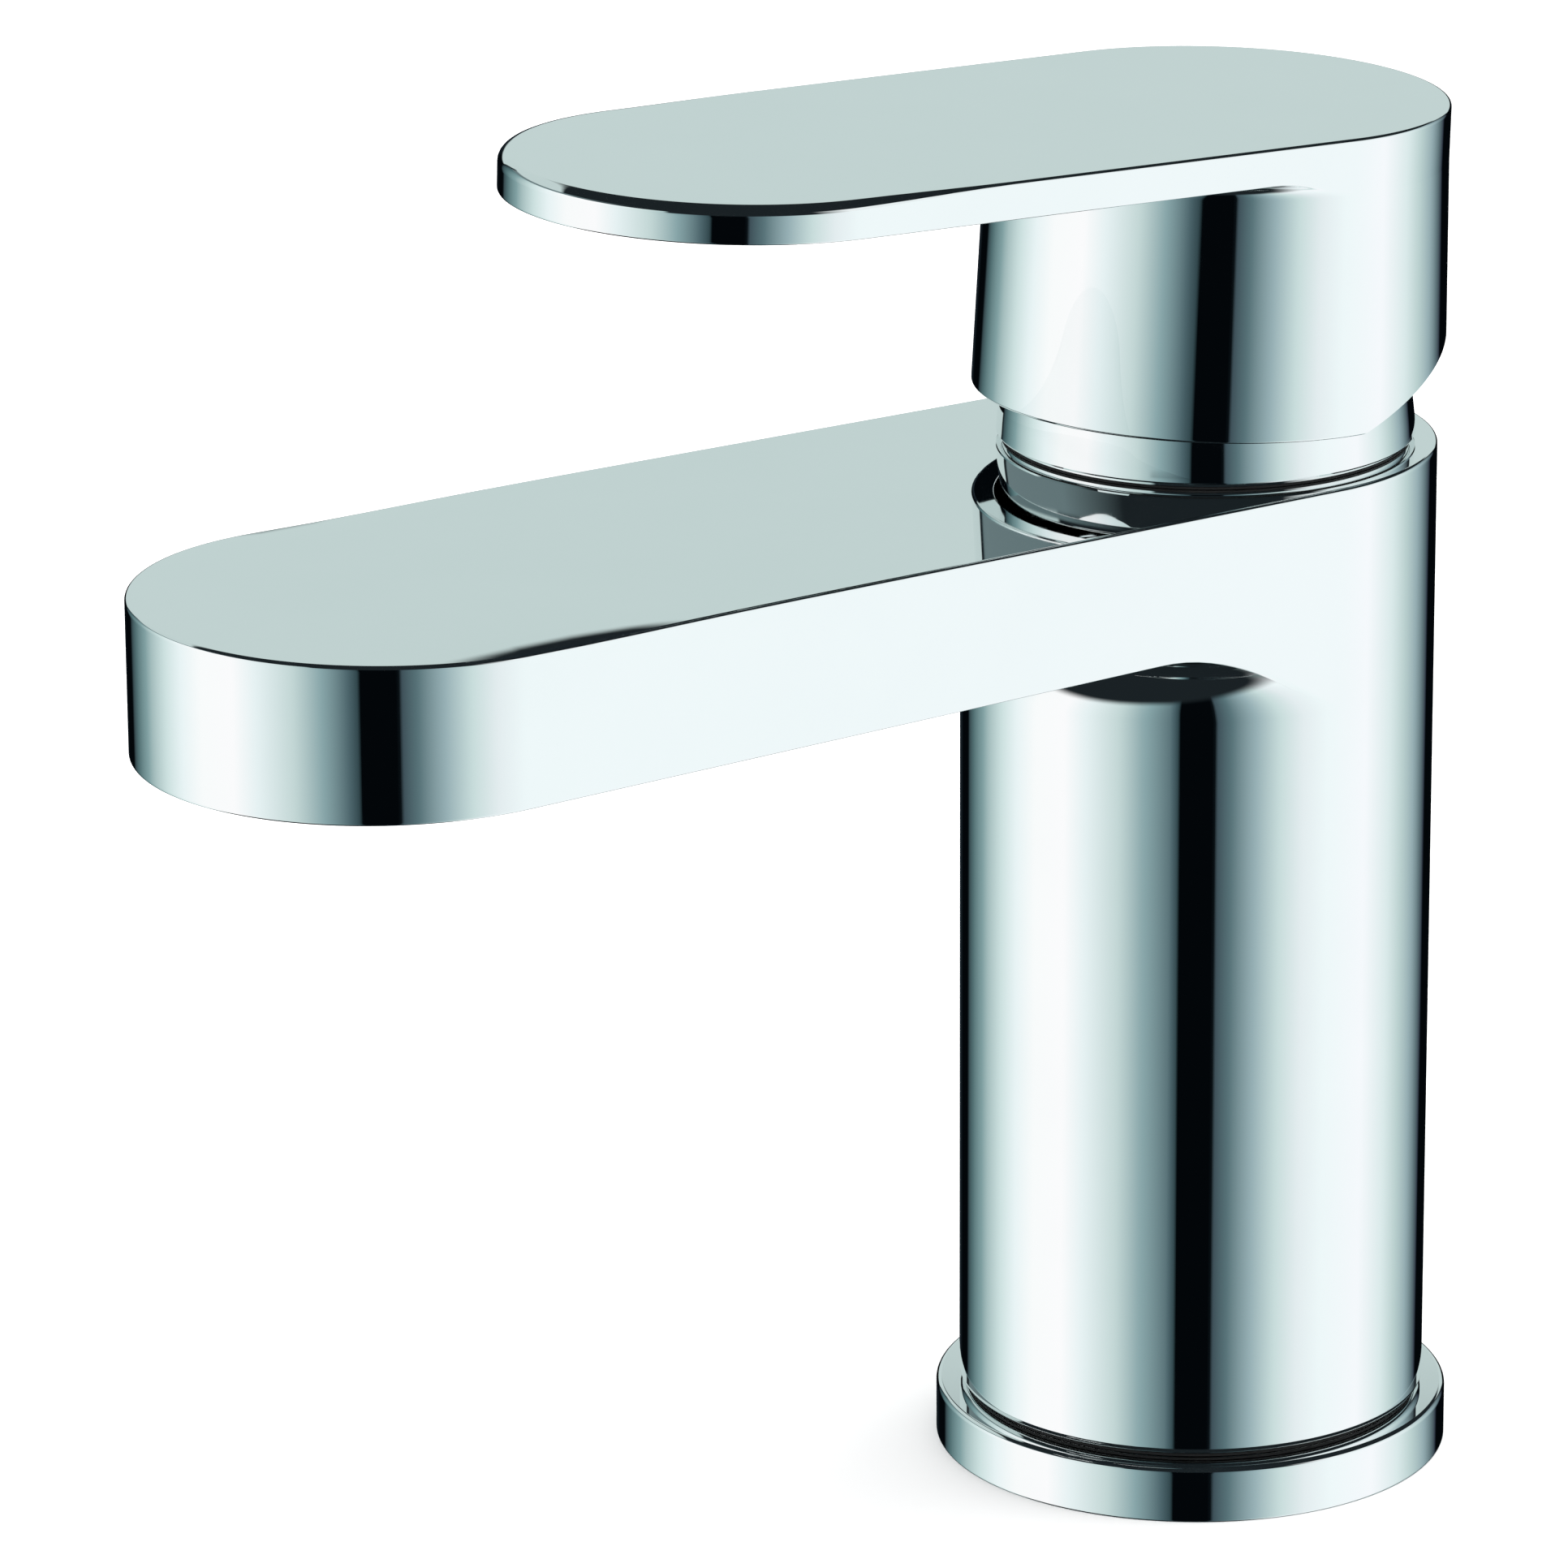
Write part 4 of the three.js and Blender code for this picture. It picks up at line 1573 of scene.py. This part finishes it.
# Camera: its place in metres, its right, up and back directions, and its lens and sensor in millimetres.
CAMERA_AT = (0.657374, -0.483922, 0.327856)
CAMERA_RIGHT = (0.55481, 0.83196, -0.00539)
CAMERA_UP = (-0.25145, 0.17386, 0.95213)
CAMERA_BACK = (0.79307, -0.52689, 0.30566)
LENS = 205.83
SENSOR = 36.0

Stop = tuple[float, tuple[float, float, float]]
BLACK = (0.001, 0.002, 0.003)
DUSK = (0.012, 0.017, 0.02)
HAZE = (0.58, 0.69, 0.68)

# What stands round the mixer at the level that its upright walls mirror, by angle in degrees from the front of
# the studio to the right.
ROUND_STOPS: tuple[Stop, ...] = (
    (-180, (0.02, 0.03, 0.04)),
    (-163, BLACK),
    (-151, BLACK),
    (-149, (0.04, 0.07, 0.08)),
    (-143, (0.09, 0.17, 0.18)),
    (-131, (0.24, 0.38, 0.39)),
    (-125, (0.41, 0.55, 0.55)),
    (-113, (0.68, 0.82, 0.81)),
    (-101, (0.91, 0.99, 1.00)),
    (-88, (1.06, 1.06, 1.06)),
    (-70, (1.08, 1.06, 1.07)),
    (-58, (0.89, 0.97, 0.98)),
    (-40, (0.61, 0.74, 0.73)),
    (-27, (0.28, 0.42, 0.44)),
    (-15, (0.08, 0.14, 0.16)),
    (-10.6, (0.03, 0.06, 0.07)),
    (-10, BLACK),
    (7, BLACK),
    (7.6, (0.05, 0.08, 0.10)),
    (15, (0.11, 0.19, 0.21)),
    (27, (0.35, 0.48, 0.51)),
    (39, (0.65, 0.79, 0.78)),
    (51, (0.87, 0.93, 0.95)),
    (64, (0.96, 1.03, 1.04)),
    (88, (1.03, 1.04, 1.07)),
    (106, (0.79, 0.90, 0.90)),
    (118, (0.55, 0.69, 0.68)),
    (130, (0.33, 0.45, 0.48)),
    (139, (0.14, 0.21, 0.23)),
    (146, (0.03, 0.04, 0.06)),
    (147.5, BLACK),
    (180, BLACK),
)

# What stands above that level, by the same angle.
HIGH_STOPS: tuple[Stop, ...] = (
    (-180, HAZE),
    (-153, HAZE),
    (-152, DUSK),
    (-149, DUSK),
    (-147, (0.16, 0.22, 0.23)),
    (-90, (0.15, 0.21, 0.22)),
    (-50, DUSK),
    (42, DUSK),
    (60, (0.93, 0.97, 0.98)),
    (106, (0.79, 0.9, 0.9)),
    (130, (0.33, 0.45, 0.48)),
    (147, (0.05, 0.07, 0.08)),
    (149, DUSK),
    (152, DUSK),
    (153, HAZE),
    (180, HAZE),
)

# Sine of the height at which the first level changes to the second.
HORIZON = (0.1, 0.16)

# The bank at the left, where the first level goes on higher up: its middle as an angle, how far aside it ends,
# the sine of its top's height, and how much brighter it is.
BANK_MIDDLE = -92.0
BANK_EDGE = (58.0, 62.0)
BANK_TOP = (0.285, 0.32)
BANK_LIFT = 1.03

# The dark roof: the sine of the height where it starts, what is added to a height at the very front, from where
# towards the back left it is light, and how much the left counts for that.
ROOF = (0.43, 0.47)
ROOF_SLOPE = -0.075
ROOF_LIGHT = (0.98, 1.03)
ROOF_LIGHT_LEFT = 1.0

# The dark patch below the front left: its direction as front, right and up shares, and how it fades in.
PIT = (0.1545, -0.2676, -0.951)
PIT_FADE = (0.79, 0.88)

# Strength of the plain light that all but mirrored rays get.
SOFT_LIGHT = 1.3


def share_of_turn(degrees: float) -> float:
    """An angle from -180 to 180 degrees, as a share of the full turn from 0 to 1."""
    return (degrees + 180) / 360


@dataclass
class Studio:
    """Camera, surroundings, light and floor, in metres.

    Attributes:
        clip: Nearest and furthest distance that the camera sees.
        light_size: Diameter of the lamp overhead.
        light_power: Its power in watts.
        light_at: Its place.
        floor_r: Radius of the floor.
        floor_steps: Facets round it.
        floor_color: Its colour.
    """

    clip: Point = (0.01, 20.0)
    light_size: float = 1.2
    light_power: float = 14.0
    light_at: tuple[float, float, float] = (0.15, -0.1, 1.4)
    floor_r: float = 6.0
    floor_steps: int = 96
    floor_color: tuple[float, float, float] = (0.92, 0.92, 0.92)

    def build(self) -> None:
        """Builds the whole studio."""
        self.camera()
        self.surroundings()
        self.light()
        self.floor()

    def camera(self) -> None:
        """Places the camera."""
        data = bpy.data.cameras.new("camera")
        data.lens = LENS
        data.sensor_width = SENSOR
        data.clip_start, data.clip_end = self.clip
        made = bpy.data.objects.new("camera", data)
        turn = Matrix((CAMERA_RIGHT, CAMERA_UP, CAMERA_BACK)).transposed()
        made.matrix_world = Matrix.Translation(CAMERA_AT) @ turn.to_4x4()
        bpy.context.scene.collection.objects.link(made)
        bpy.context.scene.camera = made

    @staticmethod
    def ramp(
        tree: bpy.types.NodeTree, angle: bpy.types.NodeSocket, stops: Sequence[Stop]
    ) -> bpy.types.NodeSocket:
        """Colours by an angle, given as a share of a full turn.

        Args:
            tree: The tree to build in.
            angle: The angle's socket, from 0 to 1.
            stops: The stops, in degrees from -180 to 180.

        Returns:
            The colour's socket.
        """
        node = add_node(tree, "ShaderNodeValToRGB", {"Fac": angle})
        elements = node.color_ramp.elements
        elements.remove(elements[0])
        first_angle, first_color = stops[0]
        elements[0].position = share_of_turn(first_angle)
        elements[0].color = (*first_color, 1)
        for degrees, color in stops[1:]:
            elements.new(share_of_turn(degrees)).color = (*color, 1)
        return node.outputs["Color"]

    def surroundings(self) -> None:
        """Builds the world: mirrored rays see the studio's panels, and all others plain soft light."""
        world = bpy.data.worlds.new("studio")
        bpy.context.scene.world = world
        world.use_nodes = True
        tree = world.node_tree
        tree.nodes.clear()
        path = add_node(tree, "ShaderNodeLightPath")
        seen = add_node(tree, "ShaderNodeBackground", {"Color": self.panels(tree), "Strength": 1.0})
        soft = add_node(tree, "ShaderNodeBackground", {"Color": (1, 1, 1, 1), "Strength": SOFT_LIGHT})
        mix = add_node(
            tree,
            "ShaderNodeMixShader",
            {0: path.outputs["Is Glossy Ray"], 1: soft.outputs[0], 2: seen.outputs[0]},
        )
        add_node(tree, "ShaderNodeOutputWorld", {"Surface": mix.outputs[0]})

    def panels(self, tree: bpy.types.NodeTree) -> bpy.types.NodeSocket:
        """Colours the studio by direction: two levels, the bank, the roof and the dark patch below.

        Args:
            tree: The tree to build in.

        Returns:
            The colour's socket.
        """
        way = add_node(tree, "ShaderNodeTexCoord").outputs["Generated"]
        right = Vector((CAMERA_RIGHT[0], CAMERA_RIGHT[1], 0)).normalized()
        front = Vector((CAMERA_BACK[0], CAMERA_BACK[1], 0)).normalized()
        height = add_node(tree, "ShaderNodeSeparateXYZ", {0: way}).outputs["Z"]
        ahead = self.along(tree, way, front)
        angle = self.number(tree, "ARCTAN2", self.along(tree, way, right), ahead)
        share = add_node(
            tree, "ShaderNodeMapRange", {"Value": angle, "From Min": -math.pi, "From Max": math.pi}
        ).outputs["Result"]
        dusk, haze = self.plain(tree, DUSK), self.plain(tree, HAZE)

        low, high = self.ramp(tree, share, ROUND_STOPS), self.ramp(tree, share, HIGH_STOPS)
        pit = front * PIT[0] + right * PIT[1] + Vector((0, 0, PIT[2]))
        low = self.change(tree, self.along(tree, way, pit), low, dusk, PIT_FADE)

        from_middle = self.number(tree, "SUBTRACT", share, share_of_turn(BANK_MIDDLE))
        aside = self.number(tree, "ABSOLUTE", from_middle)
        lifted = add_node(tree, "ShaderNodeVectorMath", {0: low, "Scale": BANK_LIFT}, operation="SCALE")
        bank = self.change(tree, aside, lifted.outputs[0], high, tuple(edge / 360 for edge in BANK_EDGE))
        color = self.change(tree, height, low, bank, HORIZON)
        color = self.change(tree, height, color, high, BANK_TOP)

        tall = self.number(tree, "MULTIPLY_ADD", ahead, ROOF_SLOPE, height)
        back_left = self.along(tree, way, -front - right * ROOF_LIGHT_LEFT)
        roof = self.change(tree, back_left, dusk, haze, ROOF_LIGHT)
        return self.change(tree, tall, color, roof, ROOF)

    @staticmethod
    def along(tree: bpy.types.NodeTree, way: bpy.types.NodeSocket, axis: Vector) -> bpy.types.NodeSocket:
        """How far a direction points along an axis."""
        node = add_node(tree, "ShaderNodeVectorMath", {0: way, 1: axis}, operation="DOT_PRODUCT")
        return node.outputs["Value"]

    @staticmethod
    def number(
        tree: bpy.types.NodeTree, operation: str, *values: float | bpy.types.NodeSocket
    ) -> bpy.types.NodeSocket:
        """The result of a Math node."""
        return add_node(tree, "ShaderNodeMath", dict(enumerate(values)), operation=operation).outputs[0]

    @staticmethod
    def plain(tree: bpy.types.NodeTree, color: Sequence[float]) -> bpy.types.NodeSocket:
        """Makes a plain colour.

        Args:
            tree: The tree to build in.
            color: Its red, green and blue.

        Returns:
            The colour's socket.
        """
        node = add_node(tree, "ShaderNodeRGB")
        node.outputs[0].default_value = (*color, 1)
        return node.outputs[0]

    @staticmethod
    def change(
        tree: bpy.types.NodeTree,
        measure: bpy.types.NodeSocket,
        below: bpy.types.NodeSocket,
        above: bpy.types.NodeSocket,
        span: Point,
    ) -> bpy.types.NodeSocket:
        """Changes from one colour to another as a measure grows.

        Args:
            tree: The tree to build in.
            measure: The measure, such as the height above the horizon.
            below: Colour below the change.
            above: Colour above it.
            span: Values between which it changes.

        Returns:
            The colour's socket.
        """
        share = add_node(
            tree,
            "ShaderNodeMapRange",
            {"Value": measure, "From Min": span[0], "From Max": span[1]},
            interpolation_type="SMOOTHSTEP",
        )
        mix = add_node(
            tree,
            "ShaderNodeMix",
            {"Factor": share.outputs["Result"], MIX_FIRST: below, MIX_SECOND: above},
            data_type="RGBA",
        )
        return mix.outputs[MIX_RESULT]

    def light(self) -> None:
        """Adds the soft light overhead."""
        data = bpy.data.lights.new("overhead", "AREA")
        data.shape = "DISK"
        data.size = self.light_size
        data.energy = self.light_power
        made = bpy.data.objects.new("overhead", data)
        made.location = self.light_at
        made.visible_glossy = False
        bpy.context.scene.collection.objects.link(made)

    def floor(self) -> None:
        """Builds the pale floor, which a look from below passes through."""
        mesh = bmesh.new()
        bmesh.ops.create_circle(mesh, cap_ends=True, segments=self.floor_steps, radius=self.floor_r)
        data = bpy.data.meshes.new("floor")
        mesh.to_mesh(data)
        mesh.free()
        made = bpy.data.objects.new("floor", data)
        bpy.context.scene.collection.objects.link(made)
        material = bpy.data.materials.new("pale_floor")
        material.use_nodes = True
        tree = material.node_tree
        tree.nodes.clear()
        matt = add_node(tree, "ShaderNodeBsdfDiffuse", {"Color": (*self.floor_color, 1)})
        clear = add_node(tree, "ShaderNodeBsdfTransparent")
        side = add_node(tree, "ShaderNodeNewGeometry")
        mix = add_node(
            tree,
            "ShaderNodeMixShader",
            {0: side.outputs["Backfacing"], 1: matt.outputs[0], 2: clear.outputs[0]},
        )
        add_node(tree, "ShaderNodeOutputMaterial", {"Surface": mix.outputs[0]})
        data.materials.append(material)
        made.visible_glossy = False


def main() -> None:
    """Builds the studio and the mixer."""
    logging.basicConfig(level=logging.INFO, format="%(name)s: %(message)s")
    bpy.context.scene.view_settings.view_transform = "Standard"
    Studio().build()
    for part in (BodyCasting(), BaseSet(), TrimRing(), LeverHandle(), Aerator(), HiddenWorks()):
        part.build()


if __name__ == "__main__":
    main()
